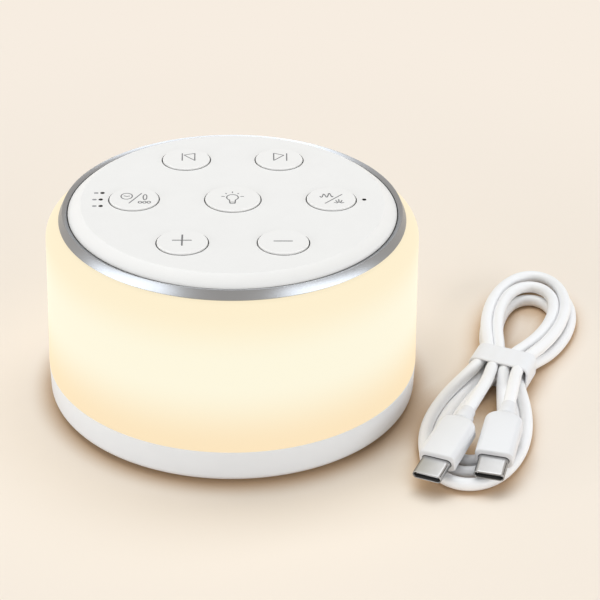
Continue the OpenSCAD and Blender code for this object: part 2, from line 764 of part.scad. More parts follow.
module lead_connectors() {
    color([0.9, 0.88, 0.8]) {
        lead_box([0, ribbon_y, main_board_top], 0, [ribbon_w + 2, 3.4, connector_h]);
        lead_box([0, ribbon_y, board_bottom - connector_h], 0, [ribbon_w + 2, 3.4, connector_h]);
        lead_box([battery_lead_at.x, battery_lead_at.y, main_board_top], -32, [4.6, 3.4, connector_h]);
        lead_box([speaker_lead_at.x, speaker_lead_at.y, main_board_top], 16, [4.6, 3.4, connector_h]);
        lead_box([light_lead_at.x, light_lead_at.y, main_board_top], -16, [4.6, 3.4, connector_h]);
    }
}

module ribbon_cable() {
    low = main_board_top + connector_h;
    high = board_bottom - connector_h;
    color([0.8, 0.8, 0.8]) translate([ribbon_w / 2, 0, 0]) rotate([0, -90, 0]) linear_extrude(ribbon_w)
        polygon(concat(
            [for (i = [0 : 12]) [low + (high - low) * i / 12, ribbon_y - ribbon_t / 2 - 1.5 * pow(sin(15 * i), 2)]],
            [for (i = [12 : -1 : 0]) [low + (high - low) * i / 12, ribbon_y + ribbon_t / 2 - 1.5 * pow(sin(15 * i), 2)]]));
}

module battery_leads() {
    low = main_board_top + connector_h;
    color([0.8, 0.1, 0.1]) tube(smooth_route([
        [cell_l / 2 + 0.7, 0, cell_z], [core_in_r - 2.2, 3, cell_z - 3], [core_in_r - 3.4, 9, cell_z - 8],
        [core_in_r - 7.4, 17, cell_z - 14], [battery_lead_at.x + 4.3, battery_lead_at.y - 5, low + 6],
        [battery_lead_at.x + 0.4, battery_lead_at.y - 0.4, low + 2.4],
        [battery_lead_at.x, battery_lead_at.y, low + 0.2]], 3), 1.4, up = [1, 0, 0]);
}

module speaker_leads() {
    low = main_board_top + connector_h;
    color([0.15, 0.15, 0.15]) tube(smooth_route([
        [0, magnet_r + 0.8, magnet_z + 1.4], [-1.5, 17, magnet_z + 1.6], [-5, 23, low + 4.5],
        [speaker_lead_at.x + 0.6, speaker_lead_at.y - 1.5, low + 2.6],
        [speaker_lead_at.x, speaker_lead_at.y, low + 0.2]], 3), 1.4, up = [1, 0, 0]);
}

module light_strip_leads() {
    low = main_board_top + connector_h;
    a = strip_wire_angle;
    color([0.9, 0.9, 0.9]) tube(smooth_route([
        (core_r + strip_t + 0.9) * [cos(a + 5), sin(a + 5), 0] + [0, 0, strip_wire_z + 4.2],
        (core_r + 1.6) * [cos(a + 1), sin(a + 1), 0] + [0, 0, strip_wire_z + 1.6],
        (core_r - 1) * [cos(a), sin(a), 0] + [0, 0, strip_wire_z],
        (core_r - 4) * [cos(a), sin(a), 0] + [0, 0, strip_wire_z - 2],
        [light_lead_at.x + 0.4, light_lead_at.y + 1, low + 4],
        [light_lead_at.x, light_lead_at.y, low + 0.2]], 3), 1.4, up = [1, 0, 0]);
}

// ---- cable ----

module coil_frame(turn) {
    translate([coil_at[0], coil_at[1], 0]) rotate([0, 0, turn]) children();
}

module coil_outline(circles) {
    hull() for (c = circles) translate([c[1], c[0]]) circle(r = c[2], $fn = 40);
}

// space of the band, as a slab right across the coil
module tie_slab() {
    translate([-40, -tie_l / 2, -1]) cube([80, tie_l, 20]);
}

module cable_hank() {
    color(white) {
        difference() {
            coil_frame(coil_turn) {
                linear_extrude(far_h) coil_outline(far_outline);
                linear_extrude(near_h) coil_outline(near_outline);
            }
            coil_frame(tie_turn) tie_slab();
        }
        coil_frame(tie_turn) translate([0, tie_l / 2 + E, tie_h / 2]) rotate([90, 0, 0])
            linear_extrude(tie_l + 2 * E)
                rounded_rect(tie_w - 2 * (tie_t + tie_gap), tie_h - 2 * (tie_t + tie_gap), 2.2);
    }
}

module cable_tie() {
    color(white) coil_frame(tie_turn) translate([0, tie_l / 2, tie_h / 2]) rotate([90, 0, 0])
        linear_extrude(tie_l) difference() {
            rounded_rect(tie_w, tie_h, 3);
            rounded_rect(tie_w - 2 * tie_t, tie_h - 2 * tie_t, 2.2);
        }
}

// place of a plug: mouth at the origin, facing -Y
module at_plug(place) {
    translate(place[0]) rotate([0, 0, place[1]]) rotate([place[2], 0, 0]) rotate([0, place[3], 0]) children();
}

module plug_body(place) {
    color(white) at_plug(place) {
        intersection() {
            translate([0, shell_l + grip_l, 0]) rotate([90, 0, 0])
                linear_extrude(grip_l) rounded_rect(grip_w, grip_t, grip_edge);
            translate([0, 0, -grip_t]) linear_extrude(2 * grip_t) union() {
                translate([-grip_w / 2, shell_l]) square([grip_w, grip_l - grip_shoulder]);
                translate([-grip_w / 2 + grip_shoulder, shell_l]) square([grip_w - 2 * grip_shoulder, grip_l]);
                for (s = [-1, 1]) translate([s * (grip_w / 2 - grip_shoulder), shell_l + grip_l - grip_shoulder])
                    circle(r = grip_shoulder);
            }
        }
        translate([0, shell_l + grip_l - E, 0]) rotate([-90, 0, 0])
            cylinder(d1 = neck_d, d2 = neck_d * 0.9, h = neck_l + E);
    }
}

module plug_shell(place) {
    color(steel) at_plug(place) translate([0, shell_l, 0]) rotate([90, 0, 0]) difference() {
        linear_extrude(shell_l) stadium(shell_w, shell_h);
        translate([0, 0, 1]) linear_extrude(shell_l) stadium(shell_w - 2 * shell_t, shell_h - 2 * shell_t);
    }
}

// where the lead leaves a plug's neck
function neck_end(place) =
    let (turn = place[1], dip = place[2])
    place[0] + plug_l * [-sin(turn) * cos(dip), cos(turn) * cos(dip), sin(dip)];

module cable_lead_a() {
    color(white) tube(smooth_route(concat(lead_a_route, [neck_end(plug_a_at)]), 2), cable_d);
}

module cable_lead_b() {
    color(white) tube(smooth_route(concat(lead_b_route, [neck_end(plug_b_at)]), 2), cable_d);
}

base_housing();
feet();
base_screws();
diffuser_shell();
trim_ring();
top_plate();
top_plate_screws();
button_cap(0);  // button_light
button_cap(1);  // button_previous
button_cap(2);  // button_next
button_cap(3);  // button_timer
button_cap(4);  // button_sound
button_cap(5);  // button_volume_up
button_cap(6);  // button_volume_down
plunger(0);  // plunger_light
plunger(1);  // plunger_previous
plunger(2);  // plunger_next
plunger(3);  // plunger_timer
plunger(4);  // plunger_sound
plunger(5);  // plunger_volume_up
plunger(6);  // plunger_volume_down
tact_switches();
control_board();
control_board_screws();
control_chip();
indicator_leds();
indicator_light_guides();
inner_core();
light_strip();
light_leds();
battery_cell();
battery_holder();
battery_holder_screws();
speaker_frame();
speaker_pole_plates();
speaker_magnet();
speaker_cone();
speaker_surround();
speaker_spider();
speaker_gasket();
speaker_screws();
grille_mesh();
main_board();
main_board_screws();
main_board_chips();
usb_c_socket();
lead_connectors();
ribbon_cable();
battery_leads();
speaker_leads();
light_strip_leads();
cable_hank();
cable_lead_a();
cable_lead_b();
plug_body(plug_a_at);  // plug_a_body
plug_shell(plug_a_at);  // plug_a_shell
plug_body(plug_b_at);  // plug_b_body
plug_shell(plug_b_at);  // plug_b_shell
cable_tie();
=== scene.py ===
"""White noise sound machine with its USB-C lead: surfaces, finishes, light and camera.

Every piece is in metres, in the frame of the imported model: +Z is up, the front faces -Y and
the origin lies on the table under the middle of the machine.
"""

import math

import bpy
import numpy as np
from bpy.props import FloatProperty, FloatVectorProperty, PointerProperty
from mathutils import Matrix, Vector


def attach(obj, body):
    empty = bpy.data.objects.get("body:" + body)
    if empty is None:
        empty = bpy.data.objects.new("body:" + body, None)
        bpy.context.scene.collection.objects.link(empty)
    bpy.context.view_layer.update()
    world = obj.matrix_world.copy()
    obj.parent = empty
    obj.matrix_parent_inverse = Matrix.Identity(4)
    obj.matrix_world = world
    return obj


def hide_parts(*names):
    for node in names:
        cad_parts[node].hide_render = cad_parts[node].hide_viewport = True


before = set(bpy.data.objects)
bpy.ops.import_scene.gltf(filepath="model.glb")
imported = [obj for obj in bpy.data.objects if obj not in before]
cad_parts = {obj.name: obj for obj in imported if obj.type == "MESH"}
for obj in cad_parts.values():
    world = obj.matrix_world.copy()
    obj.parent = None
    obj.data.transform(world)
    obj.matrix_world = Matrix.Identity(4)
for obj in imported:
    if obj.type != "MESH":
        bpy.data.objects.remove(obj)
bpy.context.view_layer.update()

bl_info = {
    "name": "Sound Machine",
    "version": (1, 0, 0),
    "blender": (4, 5, 0),
    "location": "View3D > Sidebar > Sound Machine",
    "description": "Pieces, finishes and studio of a white noise sound machine",
    "category": "Object",
}

MM = 0.001

# heights and radii of the machine in millimetres, angles in degrees
SEAM_Z = 10.6
SHADE_TOP = 53.4
RING_TOP = 56.0
CAP_TOP = 59.1
PLATEAU_Z = 58.6
PLATE_UNDER = 56.6
RING_FOOT_R = 47.15
RING_OUT_R = 47.9
RING_EDGE_Z = 54.15
RING_CREST_R = 46.7
RING_CREST_Z = 56.6
RING_IN_R = 45.55
SHADE_HOLE_R = 44.7
LEDGE_Z = 55.0
INDICATOR_R = 36.2
MARK_ANGLES = (173.6, 180.0, 186.2)
SINGLE_ANGLE = 0.0
SOCKET_FRONT = 51.8
SOCKET_Z = 6.4

# middle of each button's cap
BUTTON_AT = {
    "light": (0.0, 0.0),
    "previous": (-13.3, 25.2),
    "next": (13.3, 25.2),
    "timer": (-27.1, 0.0),
    "sound": (27.1, 0.0),
    "volume_up": (-13.3, -25.2),
    "volume_down": (13.3, -25.2),
}
# middle and radius of each opening in the top plate
BUTTON_GAPS = [(at, 7.8 if name == "light" else 6.95) for name, at in BUTTON_AT.items()]

# cable: middle and heading of the coil. Its band: heading, shift to the side, half length along
# the strands, and half the width that the strands keep to
COIL_AT = (78.2, 0.3)
COIL_TURN = -18.0
BAND_TURN = -25.0
BAND_SIDE = 0.45
BAND_END = 4.6
BAND_HOLD = 6.4
# heights of the cable's middle: two layers in the band, and outside it on the floor or on a turn
LOW, HIGH, FLOOR_LAYER, UPPER_LAYER = 2.7, 6.1, 1.75, 5.25
# the leads, from the band towards their plugs
LEAD_A = [[74.5, -3.3, 6.1], [73.6, -8, 6.9], [72, -14, 8.4], [69.4, -21, 9.9],
          [66.7, -27.2, 10.2]]
LEAD_B = [[80.9, -6.2, 6.1], [80.7, -9, 6.7], [79.8, -14, 8.3], [78.3, -20, 9.8],
          [77, -25.5, 10.1]]
# the plugs: tip, heading, dip and roll
PLUG_A_AT = ((50.9, -56.9, 5.4), -29.0, 10.0, -4.0)
PLUG_B_AT = ((67.4, -56.5, 5.4), -18.0, 10.0, -1.5)

# every finish by its name
FINISHES = {}


# ---- units, colours and settings ----

def srgb(red, green, blue):
    """Display values 0 to 255 as the linear colour that a shader takes."""
    c = np.array([red, green, blue]) / 255
    return tuple(np.where(c <= 0.04045, c / 12.92, ((c + 0.055) / 1.055) ** 2.4).tolist())


def in_mm(*lengths):
    """Lengths of the settings, which are in metres, in millimetres."""
    return [value / MM for value in lengths]


def length(name, text, mm, low, high):
    """A length setting with its default and limits in millimetres."""
    return FloatProperty(name=name, description=text, default=mm * MM, min=low * MM,
                         max=high * MM, precision=5, subtype="DISTANCE", unit="LENGTH")


def shade(name, text, red, green, blue):
    """A colour setting with its default in display values."""
    return FloatVectorProperty(name=name, description=text, size=3, min=0, max=1,
                               default=srgb(red, green, blue), subtype="COLOR")


def power(name, text, watts):
    """The power of a lamp."""
    return FloatProperty(name=name, description=text, default=watts, min=0, max=50,
                         subtype="POWER", unit="POWER")


def strength(name, text, default, most):
    """A strength, at which 1 is full."""
    return FloatProperty(name=name, description=text, default=default, min=0, max=most,
                         subtype="FACTOR")


class CableSettings(bpy.types.PropertyGroup):
    diameter: length("Diameter", "Diameter of the cable", 3.5, 3, 4)
    color: shade("Jacket", "Colour of the cable's jacket", 246, 246, 247)
    band_color: shade("Band", "Colour of the band round the coil", 238, 238, 240)
    band_width: length("Band width", "Width of the band across the coil", 18.0, 16, 19)
    band_height: length("Band height", "Height of the band over the table", 8.6, 8, 9.5)
    band_length: length("Band length", "Length of the band along the cable", 9, 6, 9.5)
    band_wall: length("Band thickness", "Thickness of the band", 0.8, 0.5, 1)


class PlugSettings(bpy.types.PropertyGroup):
    shell_width: length("Shell width", "Width of the metal shell", 8.25, 8, 8.4)
    shell_height: length("Shell height", "Height of the metal shell", 2.4, 2.3, 2.6)
    shell_length: length("Shell length", "Length of the metal shell", 6.65, 6, 7)
    shell_wall: length("Shell wall", "Sheet thickness of the shell", 0.3, 0.2, 0.4)
    grip_width: length("Grip width", "Width of the moulded grip", 10.4, 9.6, 11)
    grip_height: length("Grip height", "Thickness of the moulded grip", 5.6, 4.8, 5.8)
    grip_length: length("Grip length", "Length of the moulded grip", 16.2, 12, 17)
    grip_corner: length("Grip corner", "Radius along the grip's sides", 1.7, 1, 2.6)
    shoulder: length("Shoulder", "Radius of the grip's rear shoulders", 2.6, 1, 3)
    neck_diameter: length("Neck diameter", "Diameter of the strain relief", 5.4, 4.5, 5.5)
    neck_length: length("Neck length", "Length of the strain relief", 5.5, 3, 7)
    metal: shade("Shell metal", "Colour of the plated shell", 165, 166, 168)
    grip_color: shade("Grip", "Colour of the moulded grip", 230, 230, 232)


class MachineSettings(bpy.types.PropertyGroup):
    base_color: shade("Base", "Colour of the base housing", 234, 237, 241)
    plate_color: shade("Top plate", "Colour of the top plate", 241, 239, 236)
    button_color: shade("Buttons", "Colour of the button caps", 242, 240, 237)
    ring_color: shade("Ring", "Colour of the trim ring's metal", 148, 152, 158)
    # painted glow: these colours and this strength paint the light of the LEDs inside onto the
    # shade
    glow_low: shade("Glow at the seam", "Colour of the lit shade at its foot", 253, 231, 193)
    glow_mid: shade("Glow at mid height", "Colour of the lit shade at its brightest", 254, 248, 224)
    glow_high: shade("Glow under the ring", "Colour of the shade's lit shoulder", 254, 240, 208)
    glow_strength: strength("Glow strength", "Light given off by the shade", 0.94, 2)
    line_width: length("Icon line", "Width of the lines of the icons", 0.36, 0.15, 0.5)
    line_rise: length("Icon relief", "Height of the icons' lines above the caps", 0.03, 0.01, 0.1)
    mark_color: shade("Mark colour", "Colour of the marks beside the indicators", 142, 142, 144)
    # grey of the icons' lines: painted shade in place of the moulded grooves of the symbols
    line_color: shade("Icon colour", "Colour of the icons' lines", 112, 112, 114)


class StudioSettings(bpy.types.PropertyGroup):
    floor_color: shade("Floor", "Colour of the floor", 245, 233, 219)
    backdrop_color: shade("Backdrop", "Colour that the room shows behind the floor", 247, 237, 225)
    # painted shadow: colour the floor is darkened to right beside a piece
    painted_shadow_color: shade("Contact", "Colour of the floor right beside a piece", 206, 177, 146)
    top_power: power("Top light", "Power of the soft light above and behind", 4.9)
    left_power: power("Left light", "Power of the soft light on the left", 2.6)
    right_power: power("Right light", "Power of the soft light on the right", 2.45)
    ambient: strength("Room light", "Brightness of the room all round", 0.43, 1)


# ---- surfaces ----

def joined(*runs):
    """The runs one after another."""
    return np.concatenate(runs)


def turned(radii, heights, sides=288, middle=(0, 0)):
    """Rings about an upright axis: ring i has radius radii[i] and lies at heights[i]."""
    angle = np.linspace(0, 2 * np.pi, sides, endpoint=False)
    r = np.asarray(radii, float)[:, None]
    z = np.asarray(heights, float)[:, None] + 0 * angle
    return np.stack([r * np.cos(angle) + middle[0], r * np.sin(angle) + middle[1], z], -1)


def shell(grid, loop=False):
    """Points and faces of a closed surface through grid[i, j]. Each row i is a closed ring.

    Neighbouring rings are joined by quads. loop joins the last ring to the first. Otherwise a
    fan to the middle of each end ring closes the surface. Where the volume inside, a sixth of
    the sum of p . (q x r) over the triangles, is negative, every face is turned round.
    """
    rows, cols = grid.shape[:2]
    i = np.arange(rows if loop else rows - 1)[:, None]
    j = np.arange(cols)[None, :]
    k = (j + 1) % cols
    above = (i + 1) % rows
    quads = np.stack(np.broadcast_arrays(i * cols + j, i * cols + k, above * cols + k,
                                         above * cols + j), -1).reshape(-1, 4)
    points = grid.reshape(-1, 3)
    fans = np.zeros((0, 3), int)
    if not loop:
        j, k = j[0], k[0]
        start, end = len(points), len(points) + 1
        points = joined(points, grid[:1].mean(1), grid[-1:].mean(1))
        last = (rows - 1) * cols
        fans = joined(np.stack([0 * j + start, k, j], -1),
                      np.stack([0 * j + end, last + j, last + k], -1))
    corners = points[joined(quads[:, :3], quads[:, [0, 2, 3]], fans)]
    volume = (corners[:, 0] * np.cross(corners[:, 1], corners[:, 2])).sum()
    if volume < 0:
        quads, fans = quads[:, ::-1], fans[:, ::-1]
    return points, quads.tolist() + fans.tolist()


def piece(name, shells, slot, body="machine", replaces=(), crease=40):
    """One object in metres from closed surfaces in millimetres, riding on a body.

    It wears the finish of the slot's name, and the nodes that it replaces are hidden.
    """
    points, faces, count = [], [], 0
    for part_points, part_faces in shells:
        points.append(part_points)
        faces += [[v + count for v in face] for face in part_faces]
        count += len(part_points)
    mesh = bpy.data.meshes.new(name)
    mesh.from_pydata((joined(*points) * MM).tolist(), [], faces)
    mesh.shade_smooth()
    mesh.set_sharp_from_angle(angle=math.radians(crease))
    mesh.materials.append(FINISHES[slot])
    made = bpy.data.objects.new(name, mesh)
    bpy.context.scene.collection.objects.link(made)
    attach(made, body)
    if replaces:
        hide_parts(*replaces)
    return made


def rounding(steps):
    """1 - cos and 1 - sin through a quarter turn: one rises from 0 to 1, one falls to 0."""
    angle = np.linspace(0, np.pi / 2, steps)
    return 1 - np.cos(angle), 1 - np.sin(angle)


def unit(vectors):
    """The same directions, each at length 1."""
    return vectors / np.linalg.norm(vectors, axis=1)[:, None]


def distances(points):
    """How far along the line each of its points lies."""
    return joined([0], np.cumsum(np.linalg.norm(np.diff(points, axis=0), axis=1)))


def curve_through(points, per_span):
    """Catmull-Rom curve: each span blends four neighbouring points with cubic weights."""
    p = np.asarray(points, float)
    padded = joined(p[:1], p, p[-1:])
    t = np.arange(per_span)[None, :, None] / per_span
    a, b, c, d = (padded[k:len(p) - 1 + k, None] for k in range(4))
    inner = 0.5 * (2 * b + (c - a) * t + (2 * a - 5 * b + 4 * c - d) * t ** 2
                   + (3 * b - a - 3 * c + d) * t ** 3)
    return joined(inner.reshape(-1, p.shape[1]), p[-1:])


def evenly(points, step):
    """The same line with points at equal distances of about one step along it."""
    run = distances(points)
    at = np.linspace(0, run[-1], int(round(run[-1] / step)) + 1)
    return np.stack([np.interp(at, run, points[:, k]) for k in range(points.shape[1])], -1)


def softened(points, reach):
    """The line averaged along its length with a bell-shaped weight. Its two ends stay."""
    step = np.linalg.norm(np.diff(points, axis=0), axis=1).mean()
    half = int(3 * reach / step) + 1
    weight = np.exp(-0.5 * (np.arange(-half, half + 1) * step / reach) ** 2)
    weight /= weight.sum()
    before = 2 * points[0] - points[half:0:-1]
    after = 2 * points[-1] - points[-2:-half - 2:-1]
    longer = joined(before, points, after)
    return np.stack([np.convolve(longer[:, k], weight, "valid") for k in range(3)], -1)


def tube(path, radius, sides):
    """Rings of one radius across a path. Each ring stands on the path's heading and on Z."""
    heading = unit(np.gradient(path, axis=0))
    side = unit(np.cross([0, 0, 1], heading))
    up = np.cross(heading, side)
    a = np.linspace(0, 2 * np.pi, sides, endpoint=False)[None, :, None]
    return path[:, None] + radius * (np.cos(a) * side[:, None] + np.sin(a) * up[:, None])


# ---- finishes ----

def feed(tree, node, inputs):
    """Gives inputs of a node their numbers or links. A node stands for its first output."""
    for name, value in inputs.items():
        if isinstance(value, bpy.types.Node):
            value = value.outputs[0]
        if isinstance(value, bpy.types.NodeSocket):
            tree.links.new(value, node.inputs[name])
        else:
            node.inputs[name].default_value = value


def add(tree, kind, inputs, **choices):
    """A new node of one kind, with its choices set before its inputs."""
    node = tree.nodes.new("ShaderNode" + kind)
    for name, choice in choices.items():
        setattr(node, name, choice)
    feed(tree, node, inputs)
    return node


def place_on(tree):
    """Where a point lies on its object, which is also its place in the machine's frame."""
    return add(tree, "TexCoord", {}).outputs["Object"]


def eased_ramp(tree, value, *stops):
    """A colour that eases from stop to stop, each a position and a colour."""
    ramp = add(tree, "ValToRGB", {"Fac": value})
    ramp.color_ramp.interpolation = "EASE"
    marks = ramp.color_ramp.elements
    for mark, (position, color) in zip(marks, (stops[0], stops[-1])):
        mark.position = position
        mark.color = (*color, 1)
    for position, color in stops[1:-1]:
        marks.new(position).color = (*color, 1)
    return ramp


def finish(name, color, roughness, relief, metallic=0.0, grain=0.4, mottle=0.03,
           spread=0.06, stretch=(1, 1, 1), patches=6.0, coat=0.0, specular=0.5):
    """A procedural finish on Object coordinates.

    Noise with features of about grain mm lifts the surface by up to relief mm and moves the
    roughness by spread. A coarser noise of patches mm darkens the colour by up to mottle.
    """
    material = bpy.data.materials.new(name)
    material.use_nodes = True
    tree = material.node_tree
    place = place_on(tree)
    turn = add(tree, "Mapping", {"Vector": place, "Scale": stretch})
    fine = add(tree, "TexNoise", {"Vector": turn, "Scale": 1 / (grain * MM), "Detail": 3})
    coarse = add(tree, "TexNoise", {"Vector": place, "Scale": 1 / (patches * MM)})
    tone = add(tree, "Mix", {"A": (*(c * (1 - mottle) for c in color), 1), "B": (*color, 1),
                             "Factor": coarse}, name="tone", data_type="RGBA")
    gloss = add(tree, "MapRange", {"Value": fine, "To Min": max(0.02, roughness - spread),
                                   "To Max": min(1, roughness + spread)})
    bump = add(tree, "Bump", {"Height": fine, "Strength": 1, "Distance": relief * MM},
               name="relief")
    feed(tree, tree.nodes["Principled BSDF"], {
        "Metallic": metallic, "Specular IOR Level": specular, "Coat Weight": coat,
        "Base Color": tone.outputs["Result"], "Roughness": gloss, "Normal": bump})
    return material


def shade_with_painted_glow(settings):
    """The shade's plastic, with the light of the LEDs inside painted on as a glow: its colour and
    its light change with height.
    """
    material = finish("glowing_shade", settings.glow_mid, 0.5, grain=0.5, relief=0.002,
                      mottle=0.02, spread=0.04, patches=25, specular=0.02)
    tree = material.node_tree
    split = add(tree, "SeparateXYZ", {"Vector": place_on(tree)})
    height = add(tree, "MapRange", {"Value": split.outputs["Z"], "From Min": SEAM_Z * MM,
                                    "From Max": SHADE_TOP * MM})
    # painted glow from the seam up to the ring, in place of the LEDs' light coming through the
    # shade
    glow = eased_ramp(tree, height, (0.02, settings.glow_low), (0.48, settings.glow_mid),
                      (0.62, settings.glow_mid), (1.0, settings.glow_high))
    # the base colour is the painted glow at 6 %, so the lamps barely change how bright the shade
    # looks
    painted_glow_base = add(tree, "Mix", {"Factor": 1, "A": glow, "B": (0.06, 0.06, 0.06, 1)},
              data_type="RGBA", blend_type="MULTIPLY")
    feed(tree, tree.nodes["Principled BSDF"], {
        "Emission Color": glow, "Emission Strength": settings.glow_strength,
        "Base Color": painted_glow_base.outputs["Result"]})
    return material


def ring_metal(settings):
    """Bright metal, turned on a lathe: fine circular lines that follow radius and height."""
    material = finish("ring_metal", settings.ring_color, 0.3, metallic=1, grain=1.5, relief=0.0,
                      mottle=0.04, spread=0.02)
    tree = material.node_tree
    split = add(tree, "SeparateXYZ", {"Vector": place_on(tree)}).outputs
    flat = add(tree, "CombineXYZ", {"X": split["X"], "Y": split["Y"]})
    radius = add(tree, "VectorMath", {0: flat}, operation="LENGTH")
    across = add(tree, "CombineXYZ", {"X": radius.outputs["Value"], "Y": split["Z"]})
    lines = add(tree, "TexNoise", {"Vector": across, "Scale": 1 / (0.06 * MM), "Detail": 2})
    feed(tree, tree.nodes["relief"], {"Height": lines, "Distance": 0.0012 * MM})
    feed(tree, tree.nodes["Principled BSDF"], {"Anisotropic": 0.4})
    return material


def woven(name, color, pitch, relief):
    """Cloth: two sets of threads at right angles, each a row of waves of the given pitch."""
    material = finish(name, color, 0.85, grain=0.1, relief=relief, mottle=0.2, specular=0.2)
    tree = material.node_tree
    # a wave texture of scale 1 repeats after 2 pi / 20
    waves = {"Vector": place_on(tree), "Scale": 0.314 / (pitch * MM)}
    warp, weft = (add(tree, "TexWave", waves, bands_direction=axis).outputs["Fac"]
                  for axis in "XY")
    both = add(tree, "Math", {0: warp, 1: weft}, operation="MAXIMUM")
    feed(tree, tree.nodes["relief"], {"Height": both})
    feed(tree, tree.nodes["tone"], {"Factor": both})
    return material


def seen_or_mirrored(tree):
    """1 where the eye, a mirror or glass looks, 0 for the light that falls on the pieces."""
    ray = add(tree, "LightPath", {}).outputs
    found = ray["Is Camera Ray"]
    for kind in ("Is Glossy Ray", "Is Transmission Ray"):
        found = add(tree, "Math", {0: found, 1: ray[kind]}, operation="MAXIMUM")
    return found


def paper(color, contact, backdrop):
    """The floor's paper, with a painted shadow: it darkens to the contact colour where the sky
    above it is hidden.

    Between 12 and 27 cm from the middle it passes into the plain colour of the backdrop.
    """
    material = finish("floor_paper", color, 0.9, grain=0.8, relief=0.0, mottle=0.0,
                      specular=0.05)
    tree = material.node_tree
    surface = tree.nodes["Principled BSDF"]
    # painted contact shadow: ambient occlusion within 9 mm eases the floor colour to the contact
    # colour
    near = add(tree, "AmbientOcclusion", {"Distance": 9 * MM}, samples=16)
    feed(tree, surface, {
        "Base Color": eased_ramp(tree, near.outputs["AO"], (0.45, contact), (0.96, color))})
    away = add(tree, "VectorMath", {0: place_on(tree)}, operation="LENGTH")
    far = add(tree, "MapRange", {"Value": away.outputs["Value"], "From Min": 0.12,
                                 "From Max": 0.27}, interpolation_type="SMOOTHSTEP")
    share = add(tree, "Math", {0: far, 1: seen_or_mirrored(tree)}, operation="MULTIPLY")
    plain = add(tree, "Emission", {"Color": (*backdrop, 1)})
    blend = add(tree, "MixShader", {0: share, 1: surface, 2: plain})
    feed(tree, tree.nodes["Material Output"], {"Surface": blend})
    return material


def make_finishes(machine, cable, plug):
    """One material for each slot of the record, and those of the pieces that have none."""
    made = [
        finish("base_plastic", machine.base_color, 0.36, grain=0.35, relief=0.0015, coat=0.1),
        finish("plate_plastic", machine.plate_color, 0.5, grain=0.22, relief=0.003, spread=0.08),
        finish("button_plastic", machine.button_color, 0.44, grain=0.25, relief=0.002),
        # icons' lines, grey as painted shade of moulded grooves
        finish("icon_print", machine.line_color, 0.6, grain=0.12, relief=0.002, mottle=0.1,
               patches=0.6),
        finish("mark_print", machine.mark_color, 0.6, grain=0.12, relief=0.002, mottle=0.1,
               patches=0.6),
        # dark painted shade for the gaps round the top plate and the buttons
        finish("gap_rubber", srgb(52, 51, 50), 0.8, grain=0.2, relief=0.004, specular=0.2),
        shade_with_painted_glow(machine),
        ring_metal(machine),
        finish("silicone", srgb(214, 213, 212), 0.75, grain=0.3, relief=0.01, mottle=0.05,
               specular=0.3),
        finish("screw_steel", srgb(205, 207, 211), 0.32, metallic=1, grain=0.2, relief=0.004),
        finish("plunger_plastic", srgb(40, 40, 42), 0.5, relief=0.005),
        finish("switch_steel", srgb(214, 215, 218), 0.3, metallic=1, relief=0.003),
        finish("circuit_board", srgb(20, 98, 58), 0.4, grain=1.2, relief=0.01, mottle=0.35,
               patches=2.5, coat=0.3),
        finish("chip_plastic", srgb(34, 34, 36), 0.6, grain=0.15, relief=0.006),
        finish("led_package", srgb(252, 238, 176), 0.35, grain=0.3, relief=0.003),
        finish("light_guide", srgb(44, 46, 50), 0.2, grain=0.3, relief=0.002, coat=0.4),
        finish("core_plastic", srgb(246, 243, 236), 0.7, relief=0.008),
        finish("strip_film", srgb(240, 235, 220), 0.5, grain=0.6, relief=0.01),
        finish("cell_wrap", srgb(64, 142, 205), 0.28, grain=3, relief=0.02, mottle=0.15, coat=0.4),
        finish("holder_plastic", srgb(42, 42, 44), 0.55, grain=0.3, relief=0.01),
        finish("speaker_steel", srgb(36, 36, 38), 0.45, metallic=0.3, grain=0.3, relief=0.008),
        finish("pole_steel", srgb(190, 192, 196), 0.35, metallic=1, grain=0.3, relief=0.006),
        finish("magnet", srgb(62, 62, 65), 0.7, grain=0.2, relief=0.012, mottle=0.25, patches=1.5),
        finish("cone_paper", srgb(40, 39, 38), 0.9, grain=0.35, relief=0.03, mottle=0.3,
               patches=1.2, specular=0.2),
        finish("surround_rubber", srgb(36, 36, 37), 0.6, relief=0.006),
        woven("spider_cloth", srgb(205, 170, 110), 0.5, 0.05),
        finish("gasket_foam", srgb(52, 52, 54), 0.95, grain=0.35, relief=0.06, mottle=0.4,
               patches=0.5, specular=0.15),
        woven("mesh_cloth", srgb(44, 44, 46), 0.4, 0.05),
        finish("socket_steel", srgb(212, 213, 217), 0.28, metallic=1, grain=0.3, relief=0.003),
        finish("connector_plastic", srgb(240, 233, 214), 0.5, relief=0.006),
        finish("ribbon_film", srgb(228, 228, 224), 0.45, grain=0.5, relief=0.02,
               stretch=(1, 8, 8), mottle=0.15),
        *(finish(f"lead_{tint}", srgb(*color), 0.4, relief=0.005, coat=0.2) for tint, color in
          (("red", (188, 38, 32)), ("black", (38, 38, 39)), ("white", (238, 238, 235)))),
        finish("cable_jacket", cable.color, 0.42, grain=0.45, relief=0.004, mottle=0.02),
        finish("plug_plastic", plug.grip_color, 0.45, grain=0.3, relief=0.003, mottle=0.02),
        finish("plug_steel", plug.metal, 0.38, metallic=1, grain=0.25, relief=0.003,
               mottle=0.12, patches=2.5),
        finish("tie_silicone", cable.band_color, 0.55, grain=0.3, relief=0.008, specular=0.4),
        # dark plastic inside the plugs' mouths, also used as the painted shade of their seams
        finish("mouth_plastic", srgb(30, 29, 30), 0.55, grain=0.2, relief=0.004),
        finish("window_plastic", srgb(14, 14, 15), 0.5, grain=0.2, relief=0.004, specular=0.15),
        finish("contact_gold", srgb(226, 188, 112), 0.28, metallic=1, grain=0.2, relief=0.002),
    ]
    FINISHES.update({material.name: material for material in made})


# ---- cable ----

def turned_about(angle, along, across, height):
    """Points given along and across a heading, as X, Y and Z about the coil's middle."""
    a = math.radians(-angle)
    along, across, height = np.broadcast_arrays(along, across, height)
    return np.stack([COIL_AT[0] + along * math.sin(a) + across * math.cos(a),
                     COIL_AT[1] + along * math.cos(a) - across * math.sin(a), height], -1)


